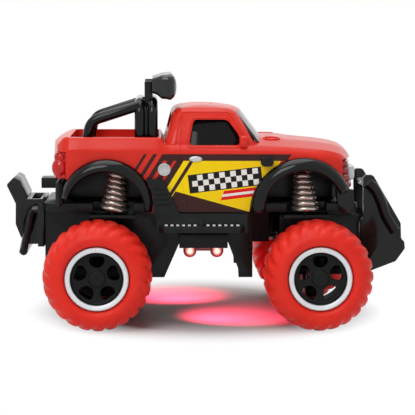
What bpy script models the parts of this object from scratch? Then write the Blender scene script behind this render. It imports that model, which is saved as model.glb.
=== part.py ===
"""Remote-controlled toy pickup on monster-truck wheels, modelled piece by piece.

Metres, +Z up, +X towards the front of the car. The origin lies on the ground, midway between the axles.
"""

import math
from collections import namedtuple

import bmesh
import bpy
from mathutils import Matrix, Vector

MM = 0.001

# Fits
GAP = 0.3 * MM
RUNNING_GAP = 0.6 * MM

# Wheels
WHEELBASE = 75.0 * MM
WIDTH_OVER_TYRES = 90.0 * MM
TYRE_RADIUS = 18.6 * MM
TYRE_WIDTH = 24.0 * MM
TYRE_BEAD_TUCK = 1.2 * MM
LUG_COUNT = 24
LUG_HEIGHT = 0.7 * MM
LUG_SKEW = math.radians(6.0)
RIM_RADIUS = 10.7 * MM
RIM_WALL = 1.2 * MM
RIM_FACE_THICKNESS = 1.8 * MM
RIM_FACE_RECESS = 1.0 * MM
RIM_EDGE_INSET = 1.7 * MM
SPOKE_COUNT = 5
SPOKE_WINDOW_INNER = 3.9 * MM
SPOKE_WINDOW_OUTER = 7.9 * MM
SPOKE_WINDOW_ANGLE = math.radians(52.0)
HUB_RADIUS = 2.9 * MM
HUB_CAP_HEIGHT = 1.1 * MM
HUB_LENGTH = 16.0 * MM
TRIM_RING_INNER = 8.95 * MM
TRIM_RING_THICKNESS = 0.9 * MM
RIM_STEPS = 16
ROUND_STEPS = 24
ROD_STEPS = 10

# Axles and drive
AXLE_RADIUS = 1.0 * MM
AXLE_END_GAP = 1.0 * MM
GEAR_MODULE = 0.7 * MM
GEAR_PLAY = 0.15 * MM
PINION_TEETH = 8
IDLER_TEETH = 24
IDLER_PINION_TEETH = 8
AXLE_GEAR_TEETH = 22
GEAR_WIDTH = 3.0 * MM
PINION_WIDTH = 2.4 * MM
GEAR_PLANE = 5.5 * MM
IDLER_ANGLE = math.radians(135.0)
MOTOR_ANGLE = math.radians(33.0)
MOTOR_RADIUS = 6.3 * MM
MOTOR_LENGTH = 16.0 * MM
MOTOR_SHAFT_RADIUS = 0.8 * MM

# Steering
KINGPIN_INSET = 4.5 * MM
KINGPIN_RADIUS = 1.2 * MM
KNUCKLE_HALF = 2.3 * MM
STEERING_ARM = 6.5 * MM
STEERING_ARM_THICKNESS = 1.8 * MM
STEERING_PIN_RADIUS = 0.9 * MM
STEERING_PIN_PLAY = 0.4 * MM
TIE_ROD_WIDTH = 2.2 * MM
TIE_ROD_THICKNESS = 2.0 * MM
TIE_ROD_HEIGHT = 20.8 * MM
TIE_ROD_EYE_WALL = 1.1 * MM
RACK_MODULE = 0.6 * MM
RACK_TEETH = 5
STEERING_PINION_TEETH = 8
STEERING_MOTOR_RADIUS = 3.5 * MM
STEERING_MOTOR_LENGTH = 12.0 * MM

# Chassis
WALL = 1.3 * MM
DECK_TOP = 41.9 * MM
DECK_THICKNESS = 3.0 * MM
DECK_CEILING = 1.4 * MM
DECK_HALF_WIDTH = 22.5 * MM
DECK_REAR = -56.5 * MM
DECK_FRONT = 52.5 * MM
DECK_CORNER = 4.0 * MM
FLOOR = 28.1 * MM
GEARBOX_FRONT = -27.2 * MM
GEARBOX_HALF_WIDTH = 15.0 * MM
GEARBOX_COVER_DEPTH = 10.4 * MM
STEERING_FRONT = 54.0 * MM
STEERING_SIDE_GAP = 1.2 * MM
STEERING_BOX_BOTTOM = 18.3 * MM
STEERING_COVER_THICKNESS = 2.2 * MM
AXLE_ARM_THICKNESS = 3.0 * MM
AXLE_ARM_DROP = 7.0 * MM
AXLE_ARM_HALF = 3.2 * MM
SIDE_PLATE_OUTER = 19.2 * MM
SIDE_PLATE_THICKNESS = 2.2 * MM
SIDE_PLATE_FRONT = 16.0 * MM
LEG_DROP = 12.4 * MM
VALANCE_TOP = 50.3 * MM
VALANCE_HALF_WIDTH = 26.3 * MM
VALANCE_REAR = -52.2 * MM
TOW_REACH = 6.2 * MM
TOW_HALF_WIDTH = 5.0 * MM
COVER_HALF_WIDTH = 14.0 * MM
COVER_REAR = -49.4 * MM
COVER_FRONT = 45.4 * MM
COVER_TOP = 55.3 * MM
POD_DEPTH = 1.8 * MM
POD_REACH = 22.0 * MM
POD_REAR = -9.6 * MM
POD_FRONT = 7.2 * MM
LAMP_DOME_RADIUS = 2.3 * MM
LAMP_SPACING = 9.4 * MM

# Power
CELL_RADIUS = 5.25 * MM
CELL_LENGTH = 44.5 * MM
CELL_NUB_RADIUS = 1.9 * MM
CELL_NUB_LENGTH = 1.0 * MM
CONTACT_THICKNESS = 0.6 * MM
BAY_SPARE = 0.8 * MM
DOOR_THICKNESS = 1.2 * MM
TAB_MARGIN = 1.0 * MM
SCREW_LENGTH = 4.0 * MM
SCREW_RADIUS = 1.1 * MM
SCREW_HEAD_RADIUS = 1.9 * MM
SWITCH_TRAVEL = 2.5 * MM
SWITCH_KNOB = 2.4 * MM
SWITCH_FLANGE = 0.8 * MM
SWITCH_PROUD = 1.2 * MM
BOARD_LENGTH = 44.0 * MM
BOARD_WIDTH = 22.0 * MM
BOARD_THICKNESS = 1.6 * MM

# Suspension
SHOCK_REAR_X = -32.6 * MM
SHOCK_FRONT_X = 34.4 * MM
SHOCK_Y = 20.2 * MM
SHOCK_LEAN = math.radians(6.0)
SHOCK_TURNS = 5.5
SHOCK_PITCH = 2.45 * MM
SHOCK_TOP_RADIUS = 2.45 * MM
SHOCK_FOOT_RADIUS = 3.5 * MM
SHOCK_WIRE = 1.9 * MM
SHOCK_POST_RADIUS = 1.1 * MM
SHELF_HALF_LENGTH = 7.0 * MM
SHELF_REACH = 24.6 * MM
SHELF_DROP = 3.9 * MM
SHELF_THICKNESS = 1.1 * MM

# Body
BODY_WALL = 1.3 * MM
SILL_HEIGHT = 39.4 * MM
TAIL_HEIGHT = 50.7 * MM
NOSE_HEIGHT = 57.5 * MM
NOSE_CUT = 46.5 * MM
BED_FLOOR = 56.9 * MM
BED_FLOOR_THICKNESS = 1.3 * MM
BED_REAR = -47.2 * MM
BED_FRONT = -16.7 * MM
BED_HALF_WIDTH = 24.6 * MM
CAB_BELT = 61.3 * MM
CAB_ROOF = 75.8 * MM
CAB_BOW = 3.4 * MM
CAB_REAR = -16.2 * MM
CAB_REAR_RAKE = 5.0 * MM
CAB_FRONT = 18.6 * MM
CAB_FRONT_RAKE = 11.2 * MM
CAB_HALF_BELT = 27.0 * MM
CAB_HALF_ROOF = 20.8 * MM
CAB_CORNER = 3.2 * MM
WINDOW_BOTTOM = 62.3 * MM
WINDOW_TOP = 71.0 * MM
WINDOW_REAR = -6.4 * MM
WINDOW_FRONT = 11.2 * MM
GLASS_THICKNESS = 1.0 * MM
ARCH_REAR = (-35.0 * MM, 40.1 * MM)
ARCH_FRONT = (33.0 * MM, 40.6 * MM)
ARCH_RADIUS = 13.3 * MM
FLARE_WIDTH = 4.4 * MM
FLARE_DEPTH = 3.6 * MM
FLARE_REAR_SPAN = (math.radians(-2.0), math.radians(164.0))
FLARE_REAR_ENDS = (2.6 * MM, 2.4 * MM)
FLARE_FRONT_SPAN = (math.radians(22.0), math.radians(184.0))
FLARE_FRONT_ENDS = (3.8 * MM, 5.4 * MM)
COWL_VENT_RADIUS = 2.4 * MM
COWL_VENT_X = 23.4 * MM
COWL_VENT_Y = 15.0 * MM
COWL_VENT_Z = 63.6 * MM
MIRROR_X = 12.2 * MM
MIRROR_Z = 63.7 * MM
VENT_X = 20.2 * MM
VENT_Z = 57.0 * MM
VENT_LENGTH = 4.4 * MM
VENT_HEIGHT = 3.4 * MM
VENT_DEPTH = 1.3 * MM
GRILLE_BOTTOM = 47.3 * MM
GRILLE_RIBS = 4
LAMP_HEIGHT = 5.4 * MM
LAMP_WIDTH = 8.6 * MM
HEADLAMP_Y = 17.2 * MM
HEADLAMP_Z = 52.7 * MM
TAIL_LAMP_HEIGHT = 8.8 * MM
TAIL_LAMP_WIDTH = 5.2 * MM
TAIL_LAMP_DEPTH = 4.6 * MM

# Sills
SILL_REAR = -17.6 * MM
SILL_FRONT = 13.6 * MM
STEP_REACH = 32.4 * MM
STEP_THICKNESS = 2.6 * MM
STEP_DROP = 4.0 * MM
STEP_TAPER = 2.4 * MM
ROCKER_WALL = 1.3 * MM
ROCKER_BULGE = 1.3 * MM
TREAD_RIBS = 6
TREAD_MIDDLE = -2.2 * MM
LOUVRE_REACH = math.radians(38.5)
LOUVRE_TOP_FRONT = -15.2 * MM
LOUVRE_LOW_FRONT = -9.1 * MM
LOUVRE_DEPTH = 1.2 * MM
LOUVRE_COUNT = 4
LOUVRE_PITCH = 1.75 * MM

# Roll bar and light bar
BAR_RADIUS = 1.8 * MM
HOOP_REAR_X = -23.3 * MM
HOOP_FRONT_X = -18.9 * MM
HOOP_HALF_WIDTH = 20.6 * MM
HOOP_TOP = 78.3 * MM
HOOP_CORNER = 5.0 * MM
STAY_KNEE_X = -40.2 * MM
STAY_KNEE_Z = 70.2 * MM
STAY_FOOT_X = -43.0 * MM
POST_WIDTH = 2.8 * MM
POST_Y = 15.5 * MM
LIGHT_BAR_HALF_WIDTH = 23.5 * MM
LIGHT_BAR_DEPTH = 6.3 * MM
LIGHT_BAR_TOP = 86.6 * MM
LIGHT_BAR_HEIGHT = 9.0 * MM
LIGHT_LENS_BULGE = 1.9 * MM
LIGHT_COUNT = 4

# Bumpers
FRONT_REACH = 70.0 * MM
REAR_REACH = -70.0 * MM
BUMPER_PLATE_INNER = 13.2 * MM
BUMPER_PLATE_OUTER = 15.7 * MM
BUMPER_TUBE_RADIUS = 1.4 * MM
HITCH_HALF_WIDTH = 12.6 * MM

# Derived places
AXLE_HEIGHT = TYRE_RADIUS
REAR_AXLE_X = -WHEELBASE / 2
FRONT_AXLE_X = WHEELBASE / 2
WHEEL_Y = (WIDTH_OVER_TYRES - TYRE_WIDTH) / 2
TYRE_INNER_Y = WHEEL_Y - TYRE_WIDTH / 2
KINGPIN_Y = TYRE_INNER_Y - KINGPIN_INSET
STEERING_HALF_WIDTH = KINGPIN_Y - KNUCKLE_HALF - STEERING_SIDE_GAP
DECK_BOTTOM = DECK_TOP - DECK_THICKNESS
CAVITY_TOP = DECK_TOP - DECK_CEILING
BAY_REAR = GEARBOX_FRONT
BAY_LENGTH = CELL_LENGTH + 2 * (CONTACT_THICKNESS + 2 * GAP) + BAY_SPARE
BAY_FRONT = BAY_REAR + BAY_LENGTH
BAY_HALF_WIDTH = 3 * CELL_RADIUS + 2 * GAP
BOSS_RADIUS = SCREW_RADIUS + GAP + WALL
SCREW_X = BAY_FRONT + WALL / 2 + BOSS_RADIUS
STEERING_REAR = SCREW_X + BOSS_RADIUS - WALL / 2
STEERING_CEILING = DECK_BOTTOM - 2 * MM
CELL_Z = FLOOR + DOOR_THICKNESS + GAP + CELL_RADIUS
CELL_X = (BAY_REAR + BAY_FRONT) / 2
MESH_REACH = GEAR_MODULE * (IDLER_PINION_TEETH + AXLE_GEAR_TEETH) / 2 + GEAR_PLAY
IDLER_X = REAR_AXLE_X + MESH_REACH * math.cos(IDLER_ANGLE)
IDLER_Z = AXLE_HEIGHT + MESH_REACH * math.sin(IDLER_ANGLE)
MOTOR_REACH = GEAR_MODULE * (PINION_TEETH + IDLER_TEETH) / 2 + GEAR_PLAY
MOTOR_X = IDLER_X + MOTOR_REACH * math.cos(MOTOR_ANGLE)
MOTOR_Z = IDLER_Z + MOTOR_REACH * math.sin(MOTOR_ANGLE)
PINION_PLANE = GEAR_PLANE + (GEAR_WIDTH + PINION_WIDTH) / 2 + RUNNING_GAP
TIE_ROD_X = FRONT_AXLE_X + STEERING_ARM
RACK_PITCH_RADIUS = RACK_MODULE * STEERING_PINION_TEETH / 2
STEERING_PINION_X = TIE_ROD_X + TIE_ROD_WIDTH / 2 + 1.1 * RACK_MODULE + RACK_PITCH_RADIUS + GEAR_PLAY
SWITCH_X = STEERING_REAR + WALL + GAP + SWITCH_KNOB / 2 + SWITCH_FLANGE
RIM_OUTER_Y = TYRE_WIDTH / 2 - RIM_EDGE_INSET
LIGHT_BAR_REAR = HOOP_FRONT_X + GAP

Station = namedtuple("Station", "x crown edge belt half_edge half_belt half_sill lean bow")

# Cross-sections of the body from tail to nose
BODY_STATIONS = (
    Station(-53.8 * MM, 62.7 * MM, 62.5 * MM, 57.3 * MM, 24.6 * MM, 26.0 * MM, 24.5 * MM, 0.06, 2.6 * MM),
    Station(-51.0 * MM, 65.0 * MM, 64.9 * MM, 59.9 * MM, 26.2 * MM, 28.2 * MM, 26.6 * MM, 0.12, 1.6 * MM),
    Station(-46.0 * MM, 65.1 * MM, 65.0 * MM, 60.7 * MM, 27.3 * MM, 29.1 * MM, 27.6 * MM, 0.0, 0.0),
    Station(-15.9 * MM, 65.1 * MM, 65.0 * MM, 60.7 * MM, 27.3 * MM, 29.2 * MM, 27.7 * MM, 0.0, 0.0),
    Station(-14.9 * MM, 63.7 * MM, 62.7 * MM, 60.5 * MM, 27.5 * MM, 29.2 * MM, 27.7 * MM, 0.0, 0.0),
    Station(19.0 * MM, 65.2 * MM, 62.1 * MM, 59.9 * MM, 27.3 * MM, 29.2 * MM, 27.7 * MM, 0.0, 0.0),
    Station(30.0 * MM, 64.4 * MM, 61.6 * MM, 59.5 * MM, 26.9 * MM, 29.0 * MM, 27.6 * MM, 0.0, 0.0),
    Station(40.0 * MM, 63.4 * MM, 60.7 * MM, 58.7 * MM, 26.0 * MM, 28.4 * MM, 27.3 * MM, 0.0, 0.0),
    Station(46.0 * MM, 62.2 * MM, 59.5 * MM, 57.7 * MM, 24.6 * MM, 27.2 * MM, 26.6 * MM, 0.0, -1.2 * MM),
    Station(49.6 * MM, 60.3 * MM, 57.9 * MM, 56.3 * MM, 22.8 * MM, 25.4 * MM, 25.4 * MM, -0.08, -2.2 * MM),
    Station(51.4 * MM, 58.2 * MM, 56.1 * MM, 54.9 * MM, 20.6 * MM, 23.2 * MM, 24.0 * MM, -0.12, -2.8 * MM),
)

# Finishes: colour, roughness, metallic
FINISHES = {
    "red_gloss": ((0.72, 0.03, 0.02), 0.25, 0.0),
    "red_rubber": ((0.70, 0.03, 0.02), 0.45, 0.0),
    "dark_red": ((0.30, 0.02, 0.02), 0.25, 0.0),
    "black_gloss": ((0.012, 0.012, 0.014), 0.18, 0.0),
    "black_satin": ((0.018, 0.018, 0.020), 0.45, 0.0),
    "glass": ((0.01, 0.01, 0.012), 0.08, 0.0),
    "chrome": ((0.82, 0.83, 0.85), 0.14, 1.0),
    "steel": ((0.55, 0.56, 0.58), 0.30, 1.0),
    "lamp_clear": ((0.80, 0.80, 0.82), 0.12, 0.0),
    "lamp_red": ((0.70, 0.02, 0.02), 0.15, 0.0),
    "nylon": ((0.78, 0.77, 0.72), 0.50, 0.0),
    "board_green": ((0.03, 0.20, 0.07), 0.50, 0.0),
    "cell_jacket": ((0.06, 0.10, 0.22), 0.35, 0.2),
    "copper": ((0.70, 0.40, 0.22), 0.35, 1.0),
}


def collection(name, hidden=False):
    """Make a collection, with its objects left out of renders if it holds cutters."""
    made = bpy.data.collections.new(name)
    bpy.context.scene.collection.children.link(made)
    made.hide_render = hidden
    return made


def material(finish):
    """Return the Principled material of a named finish."""
    found = bpy.data.materials.get(finish)
    if found:
        return found
    colour, roughness, metallic = FINISHES[finish]
    made = bpy.data.materials.new(finish)
    made.use_nodes = True
    shader = made.node_tree.nodes["Principled BSDF"]
    shader.inputs["Base Color"].default_value = (*colour, 1.0)
    shader.inputs["Roughness"].default_value = roughness
    shader.inputs["Metallic"].default_value = metallic
    return made


def blank(mesh, name="blank"):
    """Link a mesh as a working object among the cutters."""
    obj = bpy.data.objects.new(name, mesh)
    obj.hide_render = True
    obj.display_type = "WIRE"
    CUTTERS.objects.link(obj)
    return obj


def from_bmesh(bm):
    """Turn a bmesh into a working object with its faces pointing out."""
    bmesh.ops.recalc_face_normals(bm, faces=bm.faces)
    mesh = bpy.data.meshes.new("blank")
    bm.to_mesh(mesh)
    bm.free()
    return blank(mesh)


def applied(obj):
    """Replace an object by the welded mesh that its curve or modifiers give."""
    bpy.context.view_layer.update()
    evaluated = obj.evaluated_get(bpy.context.evaluated_depsgraph_get())
    mesh = bpy.data.meshes.new_from_object(evaluated)
    mesh.transform(obj.matrix_world)
    bpy.data.objects.remove(obj)
    bm = bmesh.new()
    bm.from_mesh(mesh)
    bpy.data.meshes.remove(mesh)
    bmesh.ops.remove_doubles(bm, verts=bm.verts, dist=0.0005 * MM)
    return from_bmesh(bm)


def box(low, high):
    """Box between two corners."""
    low, high = Vector(low), Vector(high)
    bm = bmesh.new()
    scale = Matrix.Diagonal((*(high - low), 1.0))
    bmesh.ops.create_cube(bm, size=1.0, matrix=Matrix.Translation((low + high) / 2) @ scale)
    return from_bmesh(bm)


def mirrored_boxes(low, high):
    """A box and its mirror image in the car's centre plane."""
    other = [(low[0], -high[1], low[2]), (high[0], -low[1], high[2])]
    return [box(low, high), box(*other)]


AXES = {"X": Matrix.Rotation(math.pi / 2, 4, "Y"), "Y": Matrix.Rotation(-math.pi / 2, 4, "X"),
        "Z": Matrix.Identity(4)}


def rod(radius, start, length, axis, steps=ROD_STEPS):
    """Cylinder from a start point along +X, +Y or +Z."""
    bm = bmesh.new()
    place = Matrix.Translation(start) @ AXES[axis] @ Matrix.Translation((0, 0, length / 2))
    bmesh.ops.create_cone(bm, cap_ends=True, segments=steps, radius1=radius, radius2=radius,
                          depth=length, matrix=place)
    return from_bmesh(bm)


def turned(profile, steps=ROUND_STEPS, axis="Y"):
    """Turn a closed profile of (radius, height) points about an axis through the origin."""
    mesh = bpy.data.meshes.new("blank")
    count = len(profile)
    edges = [(i, (i + 1) % count) for i in range(count)]
    mesh.from_pydata([(r, 0.0, h) for r, h in profile], edges, [])
    obj = blank(mesh)
    screw = obj.modifiers.new("turn", "SCREW")
    screw.steps = screw.render_steps = steps
    screw.use_merge_vertices = True
    screw.merge_threshold = 0.001 * MM
    obj.matrix_world = AXES[axis]
    return applied(obj)


PLANES = {
    "XZ": Matrix(((1, 0, 0, 0), (0, 0, -1, 0), (0, 1, 0, 0), (0, 0, 0, 1))),
    "XY": Matrix.Identity(4),
    "YZ": Matrix(((0, 0, 1, 0), (1, 0, 0, 0), (0, 1, 0, 0), (0, 0, 0, 1))),
}
NORMALS = {"XZ": Vector((0, 1, 0)), "XY": Vector((0, 0, 1)), "YZ": Vector((1, 0, 0))}


def plate(outlines, low, high, plane):
    """Extrude flat outlines of one plane between two heights of its normal; inner outlines are holes."""
    curve = bpy.data.curves.new("blank", "CURVE")
    curve.dimensions = "2D"
    curve.fill_mode = "BOTH"
    curve.extrude = (high - low) / 2
    for outline in outlines:
        spline = curve.splines.new("POLY")
        spline.points.add(len(outline) - 1)
        for point, (u, v) in zip(spline.points, outline):
            point.co = (u, v, 0.0, 1.0)
        spline.use_cyclic_u = True
    obj = blank(curve)
    obj.matrix_world = Matrix.Translation(NORMALS[plane] * (low + high) / 2) @ PLANES[plane]
    return applied(obj)


def tube(points, radius, sides=2):
    """Round bar through points, with filled ends."""
    curve = bpy.data.curves.new("blank", "CURVE")
    curve.dimensions = "3D"
    curve.bevel_depth = radius
    curve.bevel_resolution = sides
    curve.use_fill_caps = True
    spline = curve.splines.new("POLY")
    spline.points.add(len(points) - 1)
    for point, place in zip(spline.points, points):
        point.co = (*place, 1.0)
    return applied(blank(curve))


def loft(rings, caps=None):
    """Skin closed rings of equal count, and close the ends with the given faces or on their middles."""
    bm = bmesh.new()
    rows = [[bm.verts.new(p) for p in ring] for ring in rings]
    for low, high in zip(rows, rows[1:]):
        for i in range(len(low)):
            j = (i + 1) % len(low)
            bm.faces.new((low[i], low[j], high[j], high[i]))
    for row in (rows[0], rows[-1]):
        if caps:
            for cap in caps:
                bm.faces.new([row[i] for i in cap])
            continue
        middle = bm.verts.new(sum((v.co for v in row), Vector()) / len(row))
        for i, vert in enumerate(row):
            bm.faces.new((vert, row[(i + 1) % len(row)], middle))
    bmesh.ops.triangulate(bm, faces=bm.faces)
    return from_bmesh(bm)


def boolean(target, tool, operation):
    """Apply one Boolean and drop the tool."""
    step = target.modifiers.new("boolean", "BOOLEAN")
    step.operation = operation
    step.object = tool
    result = applied(target)
    bpy.data.objects.remove(tool)
    return result


def join(target, *tools):
    """Unite working objects with a target."""
    for tool in tools:
        target = boolean(target, tool, "UNION")
    return target


def cut(target, *tools):
    """Take working objects out of a target."""
    for tool in tools:
        target = boolean(target, tool, "DIFFERENCE")
    return target


def bevelled(obj, width, segments=1, angle=40.0):
    """Round the sharp edges of a working object."""
    step = obj.modifiers.new("round", "BEVEL")
    step.width = width
    step.segments = segments
    step.limit_method = "ANGLE"
    step.angle_limit = math.radians(angle)
    return applied(obj)


def mirrored(obj):
    """Mirror image of a working object in the car's centre plane, as a new object."""
    bm = bmesh.new()
    bm.from_mesh(obj.data)
    bmesh.ops.scale(bm, vec=(1, -1, 1), verts=bm.verts)
    return from_bmesh(bm)


def copied(obj):
    """Second working object with the same mesh data."""
    return blank(obj.data.copy())


def arc(centre, radius, start, end, steps):
    """Points along an arc in a plane, both ends included."""
    turn = (end - start) / steps
    return [(centre[0] + radius * math.cos(start + i * turn),
             centre[1] + radius * math.sin(start + i * turn))
            for i in range(steps + 1)]


def rounded(corners, radius, steps=2):
    """Outline whose corners are arcs of one radius, shortened where an edge is too short."""
    points = []
    count = len(corners)
    for i in range(count):
        here = Vector(corners[i])
        back = Vector(corners[i - 1]) - here
        ahead = Vector(corners[(i + 1) % count]) - here
        half = back.angle(ahead) / 2
        reach = min(radius / math.tan(half), 0.45 * back.length, 0.45 * ahead.length)
        size = reach * math.tan(half)
        middle = here + (back.normalized() + ahead.normalized()).normalized() * size / math.sin(half)
        first = here + back.normalized() * reach - middle
        last = here + ahead.normalized() * reach - middle
        begin = math.atan2(first.y, first.x)
        sweep = (math.atan2(last.y, last.x) - begin + math.pi) % math.tau - math.pi
        points += arc(middle, size, begin, begin + sweep, steps)
    return points


def bend(points, radius, steps=3):
    """Path through 3D points with its inner corners turned into arcs."""
    path = [Vector(points[0])]
    for a, b, c in zip(points, points[1:], points[2:]):
        a, b, c = Vector(a), Vector(b), Vector(c)
        back, ahead = (a - b).normalized(), (c - b).normalized()
        reach = min(radius / math.tan(back.angle(ahead) / 2), 0.45 * (a - b).length, 0.45 * (c - b).length)
        first, last = b + back * reach, b + ahead * reach
        for i in range(steps + 1):
            t = i / steps
            path.append(first * (1 - t) ** 2 + b * 2 * t * (1 - t) + last * t * t)
    path.append(Vector(points[-1]))
    return path


def part(name, obj, finish, place=(0, 0, 0), turn=0.0, parent=None):
    """Name a finished piece, give it its finish and stand it in its place."""
    CUTTERS.objects.unlink(obj)
    PARTS.objects.link(obj)
    obj.name = name
    obj.data.name = name
    obj.hide_render = False
    obj.display_type = "TEXTURED"
    obj.data.materials.clear()
    obj.data.materials.append(material(finish))
    obj.data.shade_smooth()
    obj.data.set_sharp_from_angle(angle=math.radians(35.0))
    obj.location = place
    obj.rotation_euler = (0.0, 0.0, turn)
    obj.parent = parent
    return obj


def axis_empty(name, place):
    """Empty on a joint's axis, which carries the pieces that turn or slide with it."""
    empty = bpy.data.objects.new(name, None)
    empty.location = place
    empty.empty_display_size = 5 * MM
    PARTS.objects.link(empty)
    return empty


def moved(obj, offset):
    """Shift a working object's mesh."""
    obj.data.transform(Matrix.Translation(offset))
    return obj


# Gears

def gear_outline(teeth, module, phase=0.0):
    """Outline of a toothed wheel with straight flanks and play between the teeth."""
    pitch = math.tau / teeth
    radius = module * teeth / 2
    corners = ((-0.30, -1.15), (-0.11, 0.80), (0.11, 0.80), (0.30, -1.15))
    return [((radius + depth * module) * math.cos(phase + (i + at) * pitch),
             (radius + depth * module) * math.sin(phase + (i + at) * pitch))
            for i in range(teeth) for at, depth in corners]


def circle(radius, steps=12):
    """Round outline about the origin."""
    return [(radius * math.cos(math.tau * i / steps), radius * math.sin(math.tau * i / steps))
            for i in range(steps)]


def mesh_phase(teeth, angle, partner_teeth, partner_phase):
    """Phase that puts a gap of this wheel on the line of centres where its partner has a tooth."""
    partner = (angle - partner_phase) / (math.tau / partner_teeth)
    own = (angle + math.pi) / (math.tau / teeth)
    return (own + partner + 0.5) * math.tau / teeth


def build_drive():
    """Motor, pinion, compound idler, axle gear and axle, with the cover that holds the axle."""
    axle_phase = 0.0
    idler_pinion_phase = mesh_phase(IDLER_PINION_TEETH, IDLER_ANGLE, AXLE_GEAR_TEETH, axle_phase)
    pinion_phase = mesh_phase(PINION_TEETH, MOTOR_ANGLE, IDLER_TEETH, 0.0)
    half = GEAR_WIDTH / 2

    axle_axis = axis_empty("rear_axle_axis", (REAR_AXLE_X, 0, AXLE_HEIGHT))
    hub = AXLE_RADIUS + GAP
    wheel = plate([gear_outline(AXLE_GEAR_TEETH, GEAR_MODULE, axle_phase), circle(hub)],
                  GEAR_PLANE - half, GEAR_PLANE + half, "XZ")
    part("axle_gear", wheel, "nylon", parent=axle_axis)
    reach = WHEEL_Y + RIM_OUTER_Y - RIM_FACE_THICKNESS - AXLE_END_GAP
    part("rear_axle", rod(AXLE_RADIUS, (0, -reach, 0), 2 * reach, "Y"), "steel", parent=axle_axis)

    idler_axis = axis_empty("idler_axis", (IDLER_X, 0, IDLER_Z))
    large = plate([gear_outline(IDLER_TEETH, GEAR_MODULE)],
                  PINION_PLANE - PINION_WIDTH / 2, PINION_PLANE + PINION_WIDTH / 2, "XZ")
    small = plate([gear_outline(IDLER_PINION_TEETH, GEAR_MODULE, idler_pinion_phase)],
                  GEAR_PLANE - half, PINION_PLANE, "XZ")
    shaft_reach = GEARBOX_HALF_WIDTH - GAP
    shaft = rod(AXLE_RADIUS, (0, -shaft_reach, 0), 2 * shaft_reach, "Y")
    part("idler_gear", join(large, small, shaft), "nylon", parent=idler_axis)

    motor_axis = axis_empty("motor_axis", (MOTOR_X, 0, MOTOR_Z))
    bore = MOTOR_SHAFT_RADIUS + GAP
    small = plate([gear_outline(PINION_TEETH, GEAR_MODULE, pinion_phase), circle(bore)],
                  PINION_PLANE - PINION_WIDTH / 2, PINION_PLANE + PINION_WIDTH / 2, "XZ")
    part("motor_pinion", small, "nylon", parent=motor_axis)
    inner = GEARBOX_HALF_WIDTH - WALL
    start = -inner + GAP
    can = rod(MOTOR_RADIUS, (0, start, 0), MOTOR_LENGTH, "Y", ROUND_STEPS)
    flats = [box((-2 * MOTOR_RADIUS, -inner, side * 0.86 * MOTOR_RADIUS - MOTOR_RADIUS * (side < 0)),
                 (2 * MOTOR_RADIUS, inner, side * 0.86 * MOTOR_RADIUS + MOTOR_RADIUS * (side > 0)))
             for side in (-1, 1)]
    shaft_end = PINION_PLANE + PINION_WIDTH / 2
    shaft = rod(MOTOR_SHAFT_RADIUS, (0, start + 1 * MM, 0), shaft_end - start - 1 * MM, "Y", 8)
    part("drive_motor", join(cut(can, *flats), shaft), "steel", place=(MOTOR_X, 0, MOTOR_Z))

    low = AXLE_HEIGHT - GEARBOX_COVER_DEPTH
    top = AXLE_HEIGHT - GAP / 2
    side = rounded([(DECK_REAR, top), (DECK_REAR, low + 6 * MM), (DECK_REAR + 7 * MM, low),
                    (GEARBOX_FRONT - 5 * MM, low), (GEARBOX_FRONT, low + 6 * MM), (GEARBOX_FRONT, top)],
                   2 * MM)
    cover = plate([side], -GEARBOX_HALF_WIDTH, GEARBOX_HALF_WIDTH, "XZ")
    inside = rounded([(DECK_REAR + WALL, top + WALL), (DECK_REAR + WALL, low + 6 * MM),
                      (DECK_REAR + 7 * MM, low + WALL), (GEARBOX_FRONT - 5 * MM, low + WALL),
                      (GEARBOX_FRONT - WALL, low + 6 * MM), (GEARBOX_FRONT - WALL, top + WALL)], 2 * MM)
    hollow = plate([inside], -inner, inner, "XZ")
    bearing = rod(AXLE_RADIUS + GAP, (REAR_AXLE_X, -2 * GEARBOX_HALF_WIDTH, AXLE_HEIGHT),
                  4 * GEARBOX_HALF_WIDTH, "Y")
    part("gearbox_cover", cut(cover, hollow, bearing), "black_satin")


# Wheels

def tyre_mesh():
    """Turned tyre whose crown is raised into slanted, wave-like lugs."""
    half = TYRE_WIDTH / 2
    seat = RIM_RADIUS + GAP
    crown = TYRE_RADIUS - LUG_HEIGHT
    height = crown - seat
    shoulder = seat + 0.84 * height
    side = [(seat, half - TYRE_BEAD_TUCK), (seat + 0.36 * height, half), (shoulder, half - 2.2 * MM),
            (crown - 0.3 * MM, half - 6.2 * MM)]
    profile = side + [(crown, 0.0)] + [(r, -h) for r, h in reversed(side)]
    steps = 2 * LUG_COUNT
    tyre = turned(profile, steps)
    for vert in tyre.data.vertices:
        x, y, z = vert.co
        radius = math.hypot(x, z)
        angle = math.atan2(z, x)
        rise = max(0.0, (radius - shoulder) / (crown - shoulder))
        skew = LUG_SKEW * min(1.0, abs(y) / (half - 2.2 * MM)) ** 1.5
        if radius > shoulder - 0.01 * MM and round(angle / math.tau * steps) % 2 == 0:
            radius += LUG_HEIGHT * (0.45 + 0.55 * rise)
        vert.co = (radius * math.cos(angle + skew), y, radius * math.sin(angle + skew))
    return tyre


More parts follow.
